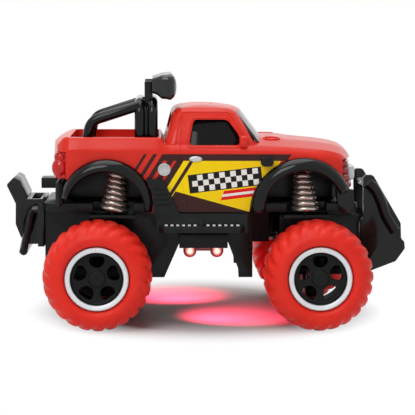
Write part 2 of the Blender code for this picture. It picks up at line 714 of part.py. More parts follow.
def rim_mesh():
    """Dished wheel with a barrel, a hub and windows between its spokes."""
    face = RIM_OUTER_Y - RIM_FACE_RECESS
    back = face - RIM_FACE_THICKNESS
    inner_edge = -(TYRE_WIDTH / 2 - TYRE_BEAD_TUCK) + GAP
    barrel = RIM_RADIUS - RIM_WALL
    bore = AXLE_RADIUS + GAP
    hub_end = face - HUB_LENGTH
    profile = [(0.0, face + HUB_CAP_HEIGHT), (HUB_RADIUS - 0.5 * MM, face + HUB_CAP_HEIGHT),
               (HUB_RADIUS, face),
               (TRIM_RING_INNER - RIM_FACE_RECESS / 2, face), (TRIM_RING_INNER, RIM_OUTER_Y),
               (RIM_RADIUS, RIM_OUTER_Y), (RIM_RADIUS, inner_edge), (barrel, inner_edge), (barrel, back),
               (HUB_RADIUS, back),
               (HUB_RADIUS, hub_end), (bore, hub_end), (bore, back), (0.0, back)]
    rim = turned(profile, RIM_STEPS)
    middle = (SPOKE_WINDOW_INNER + SPOKE_WINDOW_OUTER) / 2
    half = SPOKE_WINDOW_ANGLE / 2
    for i in range(SPOKE_COUNT):
        centre = math.pi / 2 + i * math.tau / SPOKE_COUNT
        corners = [(SPOKE_WINDOW_INNER, -0.75 * half), (middle, -half), (SPOKE_WINDOW_OUTER, -0.62 * half),
                   (SPOKE_WINDOW_OUTER, 0.62 * half), (middle, half), (SPOKE_WINDOW_INNER, 0.75 * half)]
        outline = [(r * math.cos(centre + a), r * math.sin(centre + a)) for r, a in corners]
        window = plate([outline], back - 1 * MM, face + 1 * MM, "XZ")
        rim = cut(rim, window)
    return rim


def trim_ring_mesh():
    """Bright ring in front of the rim's flange."""
    low = RIM_OUTER_Y + GAP
    high = low + TRIM_RING_THICKNESS
    return turned([(TRIM_RING_INNER, low), (RIM_RADIUS, low), (RIM_RADIUS - 0.4 * MM, high),
                   (TRIM_RING_INNER + 0.3 * MM, high - 0.2 * MM)])


def build_wheels():
    """Four wheels, each a tyre, a rim and a trim ring on its axle's axis."""
    tyre, rim, ring = tyre_mesh(), rim_mesh(), trim_ring_mesh()
    for end, x in (("front", FRONT_AXLE_X), ("rear", REAR_AXLE_X)):
        for side, sign in (("left", 1), ("right", -1)):
            axis = axis_empty(f"wheel_{end}_{side}_axis", (x, sign * WHEEL_Y, AXLE_HEIGHT))
            turn = 0.0 if sign > 0 else math.pi
            part(f"tyre_{end}_{side}", copied(tyre), "red_rubber", turn=turn, parent=axis)
            part(f"rim_{end}_{side}", copied(rim), "black_satin", turn=turn, parent=axis)
            part(f"trim_ring_{end}_{side}", copied(ring), "chrome", turn=turn, parent=axis)
    for obj in (tyre, rim, ring):
        bpy.data.objects.remove(obj)


# Steering

def build_steering():
    """Knuckles on kingpins, the tie rod with its rack, the pinion and its motor, and the cover below."""
    upper = AXLE_HEIGHT + AXLE_ARM_DROP
    lower = AXLE_HEIGHT - AXLE_ARM_DROP
    rod_low = TIE_ROD_HEIGHT - TIE_ROD_THICKNESS / 2
    rod_top = TIE_ROD_HEIGHT + TIE_ROD_THICKNESS / 2
    spindle_end = WHEEL_Y + RIM_OUTER_Y - RIM_FACE_RECESS - RIM_FACE_THICKNESS - AXLE_END_GAP
    for side, sign in (("left", 1), ("right", -1)):
        height = upper - lower - 2 * GAP
        block = box((-KNUCKLE_HALF, -KNUCKLE_HALF, -height / 2), (KNUCKLE_HALF, KNUCKLE_HALF, height / 2))
        pin_half = height / 2 + AXLE_ARM_THICKNESS
        kingpin = rod(KINGPIN_RADIUS, (0, 0, -pin_half), 2 * pin_half, "Z")
        length = spindle_end - KINGPIN_Y
        spindle = rod(AXLE_RADIUS, (0, 0 if sign > 0 else -length, 0), length, "Y")
        arm_low = rod_top + GAP - AXLE_HEIGHT
        arm_half = STEERING_PIN_RADIUS + 0.7 * MM
        arm = plate([rounded([(0, -arm_half), (STEERING_ARM + arm_half, -arm_half),
                              (STEERING_ARM + arm_half, arm_half), (0, arm_half)], arm_half)],
                    arm_low, arm_low + STEERING_ARM_THICKNESS, "XY")
        pin_low = rod_low - GAP - AXLE_HEIGHT
        pin = rod(STEERING_PIN_RADIUS, (STEERING_ARM, 0, pin_low), arm_low + 0.5 * MM - pin_low, "Z")
        knuckle = join(block, kingpin, spindle, arm, pin)
        part(f"steering_knuckle_{side}", knuckle, "black_satin",
             place=(FRONT_AXLE_X, sign * KINGPIN_Y, AXLE_HEIGHT))

    slot_x = STEERING_PIN_RADIUS + GAP + STEERING_PIN_PLAY
    slot_y = STEERING_PIN_RADIUS + GAP
    eye_x, eye_y = slot_x + TIE_ROD_EYE_WALL, slot_y + TIE_ROD_EYE_WALL
    half = TIE_ROD_THICKNESS / 2
    bar = box((-TIE_ROD_WIDTH / 2, -KINGPIN_Y, -half), (TIE_ROD_WIDTH / 2, KINGPIN_Y, half))
    for sign in (-1, 1):
        corners = [(-eye_x, -eye_y), (eye_x, -eye_y), (eye_x, eye_y), (-eye_x, eye_y)]
        eye = plate([rounded(corners, 1.2 * MM)], -half, half, "XY")
        slot = plate([rounded([(-slot_x, -slot_y), (slot_x, -slot_y), (slot_x, slot_y), (-slot_x, slot_y)],
                              STEERING_PIN_RADIUS)], -2 * half, 2 * half, "XY")
        bar = cut(join(bar, moved(eye, (0, sign * KINGPIN_Y, 0))), moved(slot, (0, sign * KINGPIN_Y, 0)))
    pitch = math.pi * RACK_MODULE
    root = TIE_ROD_WIDTH / 2
    for i in range(RACK_TEETH):
        y = (i - (RACK_TEETH - 1) / 2) * pitch
        tooth = [(root - 0.4 * MM, y - 0.28 * pitch), (root, y - 0.28 * pitch),
                 (root + 1.9 * RACK_MODULE, y - 0.10 * pitch),
                 (root + 1.9 * RACK_MODULE, y + 0.10 * pitch), (root, y + 0.28 * pitch),
                 (root - 0.4 * MM, y + 0.28 * pitch)]
        bar = join(bar, plate([tooth], -half, half, "XY"))
    part("tie_rod", bar, "nylon", place=(TIE_ROD_X, 0, TIE_ROD_HEIGHT))

    shaft = MOTOR_SHAFT_RADIUS
    phase = math.pi / STEERING_PINION_TEETH
    pinion = plate([gear_outline(STEERING_PINION_TEETH, RACK_MODULE, phase), circle(shaft + GAP, 8)],
                   -half, half, "XY")
    part("steering_pinion", pinion, "nylon", place=(STEERING_PINION_X, 0, TIE_ROD_HEIGHT))
    motor_top = STEERING_CEILING - WALL - GAP
    can = rod(STEERING_MOTOR_RADIUS, (0, 0, motor_top - STEERING_MOTOR_LENGTH), STEERING_MOTOR_LENGTH, "Z",
              16)
    spindle = rod(shaft, (0, 0, rod_low), motor_top - rod_low - 1 * MM, "Z", 8)
    part("steering_motor", join(can, spindle), "steel", place=(STEERING_PINION_X, 0, 0))

    top = STEERING_BOX_BOTTOM - GAP
    low = top - STEERING_COVER_THICKNESS
    arm_low = lower - AXLE_ARM_THICKNESS
    half = STEERING_HALF_WIDTH
    front = STEERING_FRONT
    cover = plate([rounded([(STEERING_REAR, -half), (front, -half), (front, half), (STEERING_REAR, half)],
                           2 * MM)],
                  low, top, "XY")
    web = box((FRONT_AXLE_X - AXLE_ARM_HALF, -half + 2 * MM, arm_low + 1 * MM),
              (FRONT_AXLE_X + AXLE_ARM_HALF, half - 2 * MM, top - 1 * MM))
    reach = KINGPIN_Y + KNUCKLE_HALF
    arms = plate([rounded([(FRONT_AXLE_X - AXLE_ARM_HALF, -reach), (FRONT_AXLE_X + AXLE_ARM_HALF, -reach),
                           (FRONT_AXLE_X + AXLE_ARM_HALF, reach), (FRONT_AXLE_X - AXLE_ARM_HALF, reach)],
                          2 * MM)],
                 arm_low, lower, "XY")
    cover = join(cover, web, arms)
    for sign in (-1, 1):
        socket = rod(KINGPIN_RADIUS + GAP, (FRONT_AXLE_X, sign * KINGPIN_Y, arm_low - 1 * MM),
                     2 * AXLE_ARM_DROP, "Z")
        cover = cut(cover, socket)
    slot_half = SWITCH_KNOB / 2 + GAP
    knob_low = low - SWITCH_PROUD
    slot = box((SWITCH_X - slot_half, -slot_half, knob_low - GAP),
               (SWITCH_X + slot_half + SWITCH_TRAVEL, slot_half, top + 1 * MM))
    part("steering_cover", cut(cover, slot), "black_satin")

    knob = box((-SWITCH_KNOB / 2, -SWITCH_KNOB / 2, knob_low),
               (SWITCH_KNOB / 2, SWITCH_KNOB / 2, top + 0.6 * MM))
    reach = SWITCH_KNOB / 2 + SWITCH_FLANGE
    flange = box((-reach, -reach, top + GAP), (reach, reach, top + GAP + 1.0 * MM))
    part("power_switch", join(knob, flange), "black_gloss", place=(SWITCH_X, 0, 0))


# Chassis and power

def side_plate_outline():
    """Side view of the chassis flank, which drops at both ends into the axle legs."""
    low = FLOOR - LEG_DROP
    return [(GEARBOX_FRONT - 2 * MM, DECK_BOTTOM + 1 * MM), (GEARBOX_FRONT - 2 * MM, low - 2 * MM),
            (-22.0 * MM, low - 2 * MM), (-20.0 * MM, low), (-14.8 * MM, low), (-9.4 * MM, FLOOR),
            (7.4 * MM, FLOOR),
            (11.0 * MM, low + 3 * MM), (11.2 * MM, low), (SIDE_PLATE_FRONT, low),
            (SIDE_PLATE_FRONT, DECK_BOTTOM + 1 * MM)]


def shock_axis(x):
    """Foot and unit direction of a shock, which leans towards the middle of the car."""
    lean = SHOCK_LEAN if x < 0 else -SHOCK_LEAN
    return Vector((x, 0, DECK_TOP - SHELF_DROP)), Vector((math.sin(lean), 0, math.cos(lean)))


def build_chassis():
    """Lower moulding: deck, battery bay, gear and steering boxes, flanks, shock posts and rear valance."""
    over = DECK_BOTTOM + 1 * MM
    deck_corners = [(DECK_REAR, -DECK_HALF_WIDTH), (DECK_FRONT, -DECK_HALF_WIDTH),
                    (DECK_FRONT, DECK_HALF_WIDTH), (DECK_REAR, DECK_HALF_WIDTH)]
    chassis = plate([rounded(deck_corners, DECK_CORNER)], DECK_BOTTOM, DECK_TOP, "XY")
    shelves = []
    for x in (SHOCK_REAR_X, SHOCK_FRONT_X):
        rear, front = x - SHELF_HALF_LENGTH, x + SHELF_HALF_LENGTH
        top = DECK_TOP - SHELF_DROP
        notches = mirrored_boxes((rear, GEARBOX_HALF_WIDTH + 0.2 * MM, DECK_BOTTOM - 1 * MM),
                                 (front, 2 * DECK_HALF_WIDTH, DECK_TOP + 1 * MM))
        chassis = cut(chassis, *notches)
        shelves += mirrored_boxes((rear - 1 * MM, STEERING_HALF_WIDTH - WALL / 2, top - SHELF_THICKNESS),
                                  (front + 1 * MM, SHELF_REACH, top))
    bay_half = BAY_HALF_WIDTH + WALL
    bay = box((BAY_REAR - WALL, -bay_half, FLOOR), (BAY_FRONT + WALL, bay_half, over))
    gears = box((DECK_REAR, -GEARBOX_HALF_WIDTH, AXLE_HEIGHT + GAP / 2),
                (GEARBOX_FRONT, GEARBOX_HALF_WIDTH, over))
    steering = box((STEERING_REAR, -STEERING_HALF_WIDTH, STEERING_BOX_BOTTOM),
                   (STEERING_FRONT, STEERING_HALF_WIDTH, STEERING_CEILING))
    steering_top = box((STEERING_REAR + 0.4 * MM, -STEERING_HALF_WIDTH + 0.4 * MM,
                        STEERING_CEILING - 1 * MM),
                       (DECK_FRONT - 1 * MM, STEERING_HALF_WIDTH - 0.4 * MM, over))
    upper = AXLE_HEIGHT + AXLE_ARM_DROP
    reach = KINGPIN_Y + KNUCKLE_HALF
    arms = plate([rounded([(FRONT_AXLE_X - AXLE_ARM_HALF, -reach), (FRONT_AXLE_X + AXLE_ARM_HALF, -reach),
                           (FRONT_AXLE_X + AXLE_ARM_HALF, reach), (FRONT_AXLE_X - AXLE_ARM_HALF, reach)],
                          2 * MM)],
                 upper, upper + AXLE_ARM_THICKNESS, "XY")
    boss = rod(BOSS_RADIUS, (SCREW_X, 0, FLOOR + DOOR_THICKNESS + GAP), over - FLOOR - DOOR_THICKNESS, "Z")
    chassis = join(chassis, bay, gears, steering, steering_top, arms, boss)
    flank = plate([side_plate_outline()], SIDE_PLATE_OUTER - SIDE_PLATE_THICKNESS, SIDE_PLATE_OUTER, "XZ")
    valance = box((VALANCE_REAR, -VALANCE_HALF_WIDTH, DECK_TOP - 1 * MM),
                  (COVER_REAR - GAP, VALANCE_HALF_WIDTH, VALANCE_TOP))
    tow_block = box((VALANCE_REAR - TOW_REACH, -TOW_HALF_WIDTH, VALANCE_TOP - 4.6 * MM),
                    (VALANCE_REAR + 1 * MM, TOW_HALF_WIDTH, VALANCE_TOP - 1 * MM))
    pods = mirrored_boxes((POD_REAR, SIDE_PLATE_OUTER - SIDE_PLATE_THICKNESS + 0.2 * MM, FLOOR - POD_DEPTH),
                          (POD_FRONT, POD_REACH, FLOOR + 3 * MM))
    chassis = join(chassis, *shelves, mirrored(flank), flank, bevelled(valance, 1.5 * MM), tow_block, *pods)
    for x in (SHOCK_REAR_X, SHOCK_FRONT_X):
        foot, way = shock_axis(x)
        length = SHOCK_TURNS * SHOCK_PITCH + SHOCK_WIRE
        for sign in (-1, 1):
            offset = Vector((0, sign * SHOCK_Y, 0))
            chassis = join(chassis, tube([foot + offset - way * 1 * MM, foot + offset + way * length],
                                         SHOCK_POST_RADIUS, 1))

    inner = GEARBOX_HALF_WIDTH - WALL
    gear_room = box((DECK_REAR + WALL, -inner, AXLE_HEIGHT - 1 * MM),
                    (GEARBOX_FRONT - WALL, inner, CAVITY_TOP))
    bay_room = box((BAY_REAR, -BAY_HALF_WIDTH, FLOOR - 1 * MM), (BAY_FRONT, BAY_HALF_WIDTH, CAVITY_TOP))
    inner = STEERING_HALF_WIDTH - WALL
    steering_room = box((STEERING_REAR + WALL, -inner, STEERING_BOX_BOTTOM - 1 * MM),
                        (STEERING_FRONT - WALL, inner, STEERING_CEILING - WALL))
    wire_room = box((STEERING_REAR + 2 * WALL, -inner + WALL, STEERING_CEILING - 2 * WALL),
                    (DECK_FRONT - 4 * WALL, inner - WALL, CAVITY_TOP))
    bearing = rod(AXLE_RADIUS + GAP, (REAR_AXLE_X, -2 * GEARBOX_HALF_WIDTH, AXLE_HEIGHT),
                  4 * GEARBOX_HALF_WIDTH, "Y")
    idler_bearing = rod(AXLE_RADIUS + GAP, (IDLER_X, -GEARBOX_HALF_WIDTH - 1 * MM, IDLER_Z),
                        2 * GEARBOX_HALF_WIDTH + 2 * MM, "Y")
    swing = STEERING_ARM * math.sin(math.radians(20.0))
    rod_low = STEERING_BOX_BOTTOM - 1 * MM
    rod_top = TIE_ROD_HEIGHT + TIE_ROD_THICKNESS / 2 + STEERING_ARM_THICKNESS + 3 * GAP
    eye = STEERING_PIN_RADIUS + GAP + STEERING_PIN_PLAY + TIE_ROD_EYE_WALL
    window = box((FRONT_AXLE_X + KNUCKLE_HALF, -KINGPIN_Y - swing, rod_low),
                 (TIE_ROD_X + eye + RUNNING_GAP, KINGPIN_Y + swing, rod_top))
    chassis = cut(chassis, gear_room, bay_room, steering_room, wire_room, bearing, idler_bearing, window)
    tab_half = SCREW_HEAD_RADIUS + TAB_MARGIN + GAP
    notch = box((BAY_FRONT - 1 * MM, -tab_half, FLOOR - 1 * MM),
                (BAY_FRONT + WALL + 0.2 * MM, tab_half, FLOOR + DOOR_THICKNESS + GAP))
    thread = rod(SCREW_RADIUS + GAP, (SCREW_X, 0, FLOOR), SCREW_LENGTH + DOOR_THICKNESS, "Z")
    chassis = cut(chassis, notch, thread)
    knuckle_room = KNUCKLE_HALF * 1.5 + GAP
    for sign in (-1, 1):
        clear = rod(knuckle_room, (FRONT_AXLE_X, sign * KINGPIN_Y, STEERING_BOX_BOTTOM - 1 * MM),
                    upper - STEERING_BOX_BOTTOM + 1 * MM, "Z")
        socket = rod(KINGPIN_RADIUS + GAP, (FRONT_AXLE_X, sign * KINGPIN_Y, upper - 1 * MM),
                     AXLE_ARM_THICKNESS + 2 * MM, "Z")
        chassis = cut(chassis, clear, socket)
    part("chassis", chassis, "black_satin")


def build_power():
    """Three cells and their contacts in the bay, the screwed door below it, and the board on the deck."""
    shoulder = CELL_LENGTH - CELL_NUB_LENGTH
    profile = [(0, 0), (CELL_RADIUS, 0), (CELL_RADIUS, shoulder), (CELL_NUB_RADIUS, shoulder),
               (CELL_NUB_RADIUS, CELL_LENGTH), (0, CELL_LENGTH)]
    for i in range(3):
        cell = turned(profile, 12, "X")
        y = (i - 1) * (2 * CELL_RADIUS + GAP)
        turn = math.pi if i == 1 else 0.0
        start = CELL_X + (CELL_LENGTH / 2 if i == 1 else -CELL_LENGTH / 2)
        part(f"battery_cell_{i + 1}", cell, "cell_jacket", place=(start, y, CELL_Z), turn=turn)
    reach = BAY_HALF_WIDTH - GAP
    for end, x in (("rear", BAY_REAR + GAP), ("front", BAY_FRONT - GAP - CONTACT_THICKNESS)):
        leaf = plate([rounded([(-reach, CELL_Z - CELL_RADIUS + 1 * MM),
                               (reach, CELL_Z - CELL_RADIUS + 1 * MM),
                               (reach, CELL_Z + CELL_RADIUS - 1 * MM),
                               (-reach, CELL_Z + CELL_RADIUS - 1 * MM)],
                              1 * MM)], x, x + CONTACT_THICKNESS, "YZ")
        part(f"battery_contact_{end}", leaf, "copper")

    door_rear = BAY_REAR + GAP
    door_front = BAY_FRONT - GAP
    half = BAY_HALF_WIDTH - GAP
    hinge_x = door_rear + DOOR_THICKNESS / 2
    hinge_z = FLOOR + DOOR_THICKNESS / 2
    tab_half = SCREW_HEAD_RADIUS + TAB_MARGIN
    tab_front = STEERING_REAR - GAP
    outline = [(door_rear, -half), (door_front, -half), (door_front, -tab_half), (tab_front, -tab_half),
               (tab_front, tab_half), (door_front, tab_half), (door_front, half), (door_rear, half)]
    door = plate([rounded([(x - hinge_x, y) for x, y in outline], 0.6 * MM, 1)],
                 -DOOR_THICKNESS / 2, DOOR_THICKNESS / 2, "XY")
    ribs = [box((10 * MM + i * 8 * MM, -half + 3 * MM, -DOOR_THICKNESS / 2 - 0.4 * MM),
                (12 * MM + i * 8 * MM, half - 3 * MM, 0)) for i in range(3)]
    hole = rod(SCREW_RADIUS + GAP, (SCREW_X - hinge_x, 0, -2 * DOOR_THICKNESS), 4 * DOOR_THICKNESS, "Z")
    axis = axis_empty("battery_cover_axis", (hinge_x, 0, hinge_z))
    part("battery_cover", cut(join(door, *ribs), hole), "black_satin", parent=axis)
    head = SCREW_HEAD_RADIUS
    low = -DOOR_THICKNESS / 2 - GAP
    screw = turned([(0, low - 1.0 * MM), (head - 0.4 * MM, low - 1.0 * MM), (head, low - 0.6 * MM),
                    (head, low),
                    (SCREW_RADIUS, low), (SCREW_RADIUS, SCREW_LENGTH - GAP), (0, SCREW_LENGTH - GAP)],
                   ROD_STEPS, "Z")
    slot = box((-2 * head, -0.3 * MM, low - 2 * MM), (2 * head, 0.3 * MM, low - 0.5 * MM))
    part("battery_cover_screw", cut(screw, slot), "steel", place=(SCREW_X - hinge_x, 0, 0), parent=axis)

    low = DECK_TOP + GAP
    half = BOARD_WIDTH / 2
    board = plate([rounded([(-BOARD_LENGTH / 2, -half), (BOARD_LENGTH / 2, -half), (BOARD_LENGTH / 2, half),
                            (-BOARD_LENGTH / 2, half)], 1.5 * MM)], low, low + BOARD_THICKNESS, "XY")
    chip_base = low + BOARD_THICKNESS - 0.3 * MM
    chip = box((-5 * MM, -4 * MM, chip_base), (5 * MM, 4 * MM, chip_base + 1.6 * MM))
    crystal = box((10 * MM, 3 * MM, chip_base), (14 * MM, 8 * MM, chip_base + 3.6 * MM))
    coil = rod(2.5 * MM, (-14 * MM, -5 * MM, chip_base), 5 * MM, "Z")
    part("circuit_board", join(board, chip, crystal, coil), "board_green", place=(CELL_X, 0, 0))


def build_chassis_cover():
    """Black upper box on the deck, which closes the view through the wheel arches."""
    low = DECK_TOP + GAP
    outer = box((COVER_REAR, -COVER_HALF_WIDTH, low), (COVER_FRONT, COVER_HALF_WIDTH, COVER_TOP))
    inner = box((COVER_REAR + WALL, -COVER_HALF_WIDTH + WALL, low - 1 * MM),
                (COVER_FRONT - WALL, COVER_HALF_WIDTH - WALL, COVER_TOP - WALL))
    part("chassis_cover", cut(bevelled(outer, 1.2 * MM), inner), "black_satin")


def build_shocks():
    """Chrome coil springs round the posts of the deck."""
    points_per_turn = 8
    count = round(SHOCK_TURNS * points_per_turn)
    least = math.inf
    for end, x in (("front", SHOCK_FRONT_X), ("rear", SHOCK_REAR_X)):
        foot, way = shock_axis(x)
        across = Vector((way.z, 0, -way.x))
        side = Vector((0, 1, 0))
        lift = SHOCK_WIRE / 2 + SHOCK_FOOT_RADIUS * math.sin(SHOCK_LEAN) + GAP
        points = []
        for i in range(count + 1):
            angle = math.tau * i / points_per_turn
            rise = lift + SHOCK_PITCH * i / points_per_turn
            flare = (1 - i / count) ** 2
            radius = SHOCK_TOP_RADIUS + (SHOCK_FOOT_RADIUS - SHOCK_TOP_RADIUS) * flare
            reach = across * math.cos(angle) + side * math.sin(angle)
            points.append(foot + way * rise + reach * radius)
        for i, a in enumerate(points):
            for b in points[i + points_per_turn // 2:]:
                least = min(least, (a - b).length - SHOCK_WIRE)
        for name, sign in (("left", 1), ("right", -1)):
            coil = [Vector((p.x, sign * (p.y + SHOCK_Y), p.z)) for p in points]
            part(f"shock_spring_{end}_{name}", tube(coil, SHOCK_WIRE / 2, 1), "chrome")
    print(f"least gap between the curls of a spring: {least / MM:.2f} mm")


def build_underglow():
    """Lamp lens under each flank: two domes on one strip."""
    top = FLOOR - POD_DEPTH - GAP
    y = POD_REACH - LAMP_DOME_RADIUS - 0.2 * MM
    middle = (POD_REAR + POD_FRONT) / 2
    for side, sign in (("left", 1), ("right", -1)):
        strip = box((middle - LAMP_SPACING / 2, sign * y - 1 * MM, top - 0.8 * MM),
                    (middle + LAMP_SPACING / 2, sign * y + 1 * MM, top))
        r = LAMP_DOME_RADIUS
        profile = [(0, 0), (r, 0), (r, -0.9 * MM)] + [
            (r * math.cos(a), -0.9 * MM - r * math.sin(a)) for a in (0.5, 1.0)] + [(0, -0.9 * MM - r)]
        for end in (-1, 1):
            dome = moved(turned(profile, 12, "Z"), (middle + end * LAMP_SPACING / 2, sign * y, top))
            strip = join(strip, dome)
        part(f"underglow_lamp_{side}", strip, "lamp_red")


# Body

def body_ring(station, inset, bottom, top_limit=None):
    """Cross-section of the body, from one sill over the top to the other, set in by a wall."""
    crown = station.crown - inset
    edge = station.edge - inset
    if top_limit is not None:
        crown, edge = top_limit, top_limit
    belt = min(station.belt, edge - 0.6 * MM)
    half_edge = station.half_edge - inset
    half_belt = station.half_belt - inset
    half_sill = station.half_sill - inset
    inner = 0.55 * half_edge
    right = [(inner, bottom), (half_sill, bottom), (half_belt, belt), (half_edge, edge),
             (inner, crown - 0.28 * (crown - edge))]
    outline = [(0.0, bottom)] + [(-y, z) for y, z in right] + [(0.0, crown)] + [(y, z) for y,
                                                                                z in reversed(right)]
    ring = []
    for y, z in outline:
        shift = station.lean * (z - station.belt) + station.bow * (y / station.half_belt) ** 2
        ring.append(Vector((station.x + shift, y, z)))
    return ring


def body_loft(stations, inset, bottom, top_limit=None):
    """Skin body sections, with ends that keep the bow of their outline."""
    rings = [body_ring(s, inset, bottom, top_limit) for s in stations]
    count = len(rings[0])
    half = count // 2
    left = ((0, 1, half - 1, half), tuple(range(1, half)))
    caps = left + tuple(tuple((count - i) % count for i in cap) for cap in left)
    return loft(rings, caps)


def side_reach(x, z):
    """Half width of the body's side at a station and height."""
    stations = BODY_STATIONS
    for a, b in zip(stations, stations[1:]):
        if x <= b.x or b is stations[-1]:
            t = min(1.0, max(0.0, (x - a.x) / (b.x - a.x)))
            break
    mix = [p + (q - p) * t for p, q in zip(a, b)]
    section = Station(*mix)
    if z <= section.belt:
        u = (z - SILL_HEIGHT) / (section.belt - SILL_HEIGHT)
        return section.half_sill + (section.half_belt - section.half_sill) * u
    u = min(1.0, (z - section.belt) / (section.edge - section.belt))
    return section.half_belt + (section.half_edge - section.half_belt) * u


def cab_ring(z, inset, draw=0.0):
    """Rounded plan section of the cab at a height, set in by a wall."""
    t = max(0.0, (z - CAB_BELT) / (CAB_ROOF - CAB_BELT))
    rear = CAB_REAR + CAB_REAR_RAKE * t + inset + draw
    front = CAB_FRONT - CAB_FRONT_RAKE * t - inset - draw
    half = CAB_HALF_BELT + (CAB_HALF_ROOF - CAB_HALF_BELT) * t - inset - draw
    outline = rounded([(rear, -half), (front, -half), (front, half), (rear, half)], CAB_CORNER)
    middle = len(outline) // 2
    outline[middle:middle] = [(front, share * half) for share in (-0.45, 0.0, 0.45)]
    ring = []
    for x, y in outline:
        bow = CAB_BOW * (1 - (y / half) ** 2) if x > (rear + front) / 2 else 0.0
        ring.append(Vector((x + bow, y, z)))
    return ring


def cab_solid(inset, low):
    """Cab loft from below the belt to its crowned roof."""
    top = CAB_ROOF - inset
    crown = ((2.4 * MM, 0.0), (1.1 * MM, 1.2 * MM), (0.3 * MM, 5.0 * MM), (0.0, 9.0 * MM))
    return loft([cab_ring(low, inset)] + [cab_ring(top - drop, inset, draw) for drop, draw in crown])


def window_cutters():
    """Prisms for the side windows, the windscreen and the rear window."""
    side = rounded([(WINDOW_REAR, WINDOW_BOTTOM), (WINDOW_FRONT, WINDOW_BOTTOM),
                    (WINDOW_FRONT - 0.3 * MM, WINDOW_BOTTOM + 3.4 * MM),
                    (WINDOW_FRONT - 4.4 * MM, WINDOW_TOP), (WINDOW_REAR + 1.6 * MM, WINDOW_TOP)], 1.0 * MM)
    cutters = [plate([side], -2 * CAB_HALF_BELT, 2 * CAB_HALF_BELT, "XZ")]
    rise = CAB_ROOF - CAB_BELT
    for end, rake, low, high in ((CAB_FRONT, -CAB_FRONT_RAKE, 4.6 * MM, 2.2 * MM),
                                 (CAB_REAR, CAB_REAR_RAKE, 5.4 * MM, 3.6 * MM)):
        low_z, high_z = CAB_BELT + low, CAB_ROOF - high
        low_half = CAB_HALF_BELT - 5.4 * MM
        high_half = CAB_HALF_ROOF - 3.0 * MM
        outline = rounded([(-low_half, low_z), (low_half, low_z), (high_half, high_z),
                           (-high_half, high_z)], 1.2 * MM)
        depth = 4.0 * MM + CAB_BOW
        middle = end + rake * ((low_z + high_z) / 2 - CAB_BELT) / rise
        pane = plate([outline], -depth, depth, "YZ")
        shear = Matrix.Identity(4)
        shear[0][2] = rake / rise
        shear[0][3] = middle - shear[0][2] * (low_z + high_z) / 2
        pane.data.transform(shear)
        cutters.append(pane)
    return cutters


def build_body():
    """Red shell with its bed, cab, arches and lamp pockets, and the glazing inside it."""
    lower = body_loft(BODY_STATIONS, 0.0, SILL_HEIGHT)
    shell = join(lower, cab_solid(0.0, CAB_BELT - 3 * MM))
    for sign in (-1, 1):
        y = side_reach(MIRROR_X, MIRROR_Z) - 1.2 * MM
        mirror = box((MIRROR_X - 1.4 * MM, y - 1.6 * MM, MIRROR_Z - 2.0 * MM),
                     (MIRROR_X + 1.4 * MM, y + 2.8 * MM, MIRROR_Z + 2.0 * MM))
        mirror = bevelled(mirror, 0.9 * MM)
        shell = join(shell, mirror if sign > 0 else mirrored_once(mirror))
        vent = turned([(0, -2.5 * MM), (COWL_VENT_RADIUS, -2.5 * MM), (COWL_VENT_RADIUS, 0.0),
                       (0.6 * COWL_VENT_RADIUS, 0.8 * MM), (0, 0.8 * MM)], 12, "Z")
        vent.data.transform(Matrix.Translation((COWL_VENT_X, sign * COWL_VENT_Y,
                                                COWL_VENT_Z)) @ Matrix.Diagonal((1.0, 0.7, 1.0, 1.0)))
        shell = join(shell, vent)
    underside = BED_FLOOR - BED_FLOOR_THICKNESS
    first, last = BODY_STATIONS[0], BODY_STATIONS[-1]
    deep = SILL_HEIGHT - 2 * MM
    rear_stations = (first._replace(x=first.x + BODY_WALL),) + BODY_STATIONS[1:6]
    rear_room = body_loft(rear_stations, BODY_WALL, deep, underside)
    front_stations = tuple(s._replace(x=max(s.x, CAB_REAR + BODY_WALL + 1 * MM))
                           for s in BODY_STATIONS[4:-1])
    front_room = body_loft(front_stations, BODY_WALL, deep)
    cab_room = cab_solid(BODY_WALL, CAB_BELT - 6 * MM)
    bed = plate([rounded([(BED_REAR, -BED_HALF_WIDTH), (BED_FRONT, -BED_HALF_WIDTH),
                          (BED_FRONT, BED_HALF_WIDTH),
                          (BED_REAR, BED_HALF_WIDTH)], 2 * MM)], BED_FLOOR, CAB_ROOF, "XY")
    shell = cut(shell, rear_room, front_room, cab_room, bed)
    for x, z in (ARCH_REAR, ARCH_FRONT):
        shell = cut(shell, rod(ARCH_RADIUS + 1.2 * MM, (x, -2 * CAB_HALF_BELT, z), 4 * CAB_HALF_BELT, "Y",
                               32))
    wide = 2 * CAB_HALF_BELT
    shell = cut(shell, box((2 * first.x, -wide, 0), (ARCH_REAR[0] - 10 * MM, wide, TAIL_HEIGHT)))
    shell = cut(shell, box((NOSE_CUT, -wide, 0), (2 * last.x, wide, NOSE_HEIGHT)))
    shell = cut(shell, box((ARCH_FRONT[0] + 10 * MM, -wide, 0), (2 * last.x, wide, GRILLE_BOTTOM)))
    shell = cut(shell, *window_cutters())
    x, y, z = tail_lamp_place()
    d, w, h = TAIL_LAMP_DEPTH / 2 + GAP, TAIL_LAMP_WIDTH / 2 + GAP, TAIL_LAMP_HEIGHT / 2 + GAP
    shell = cut(shell, *mirrored_boxes((x - 4 * d, y - w, z - h - 1 * MM), (x + d, y + 4 * w, z + h)))
    part("body_shell", shell, "red_gloss")

    outer = cab_solid(BODY_WALL + GAP, COVER_TOP + GAP)
    inner = cab_solid(BODY_WALL + GAP + GLASS_THICKNESS, COVER_TOP - 1 * MM)
    part("window_insert", cut(outer, inner), "glass")


def mirrored_once(obj):
    """Mirror image of a working object, which it replaces."""
    image = mirrored(obj)
    bpy.data.objects.remove(obj)
    return image


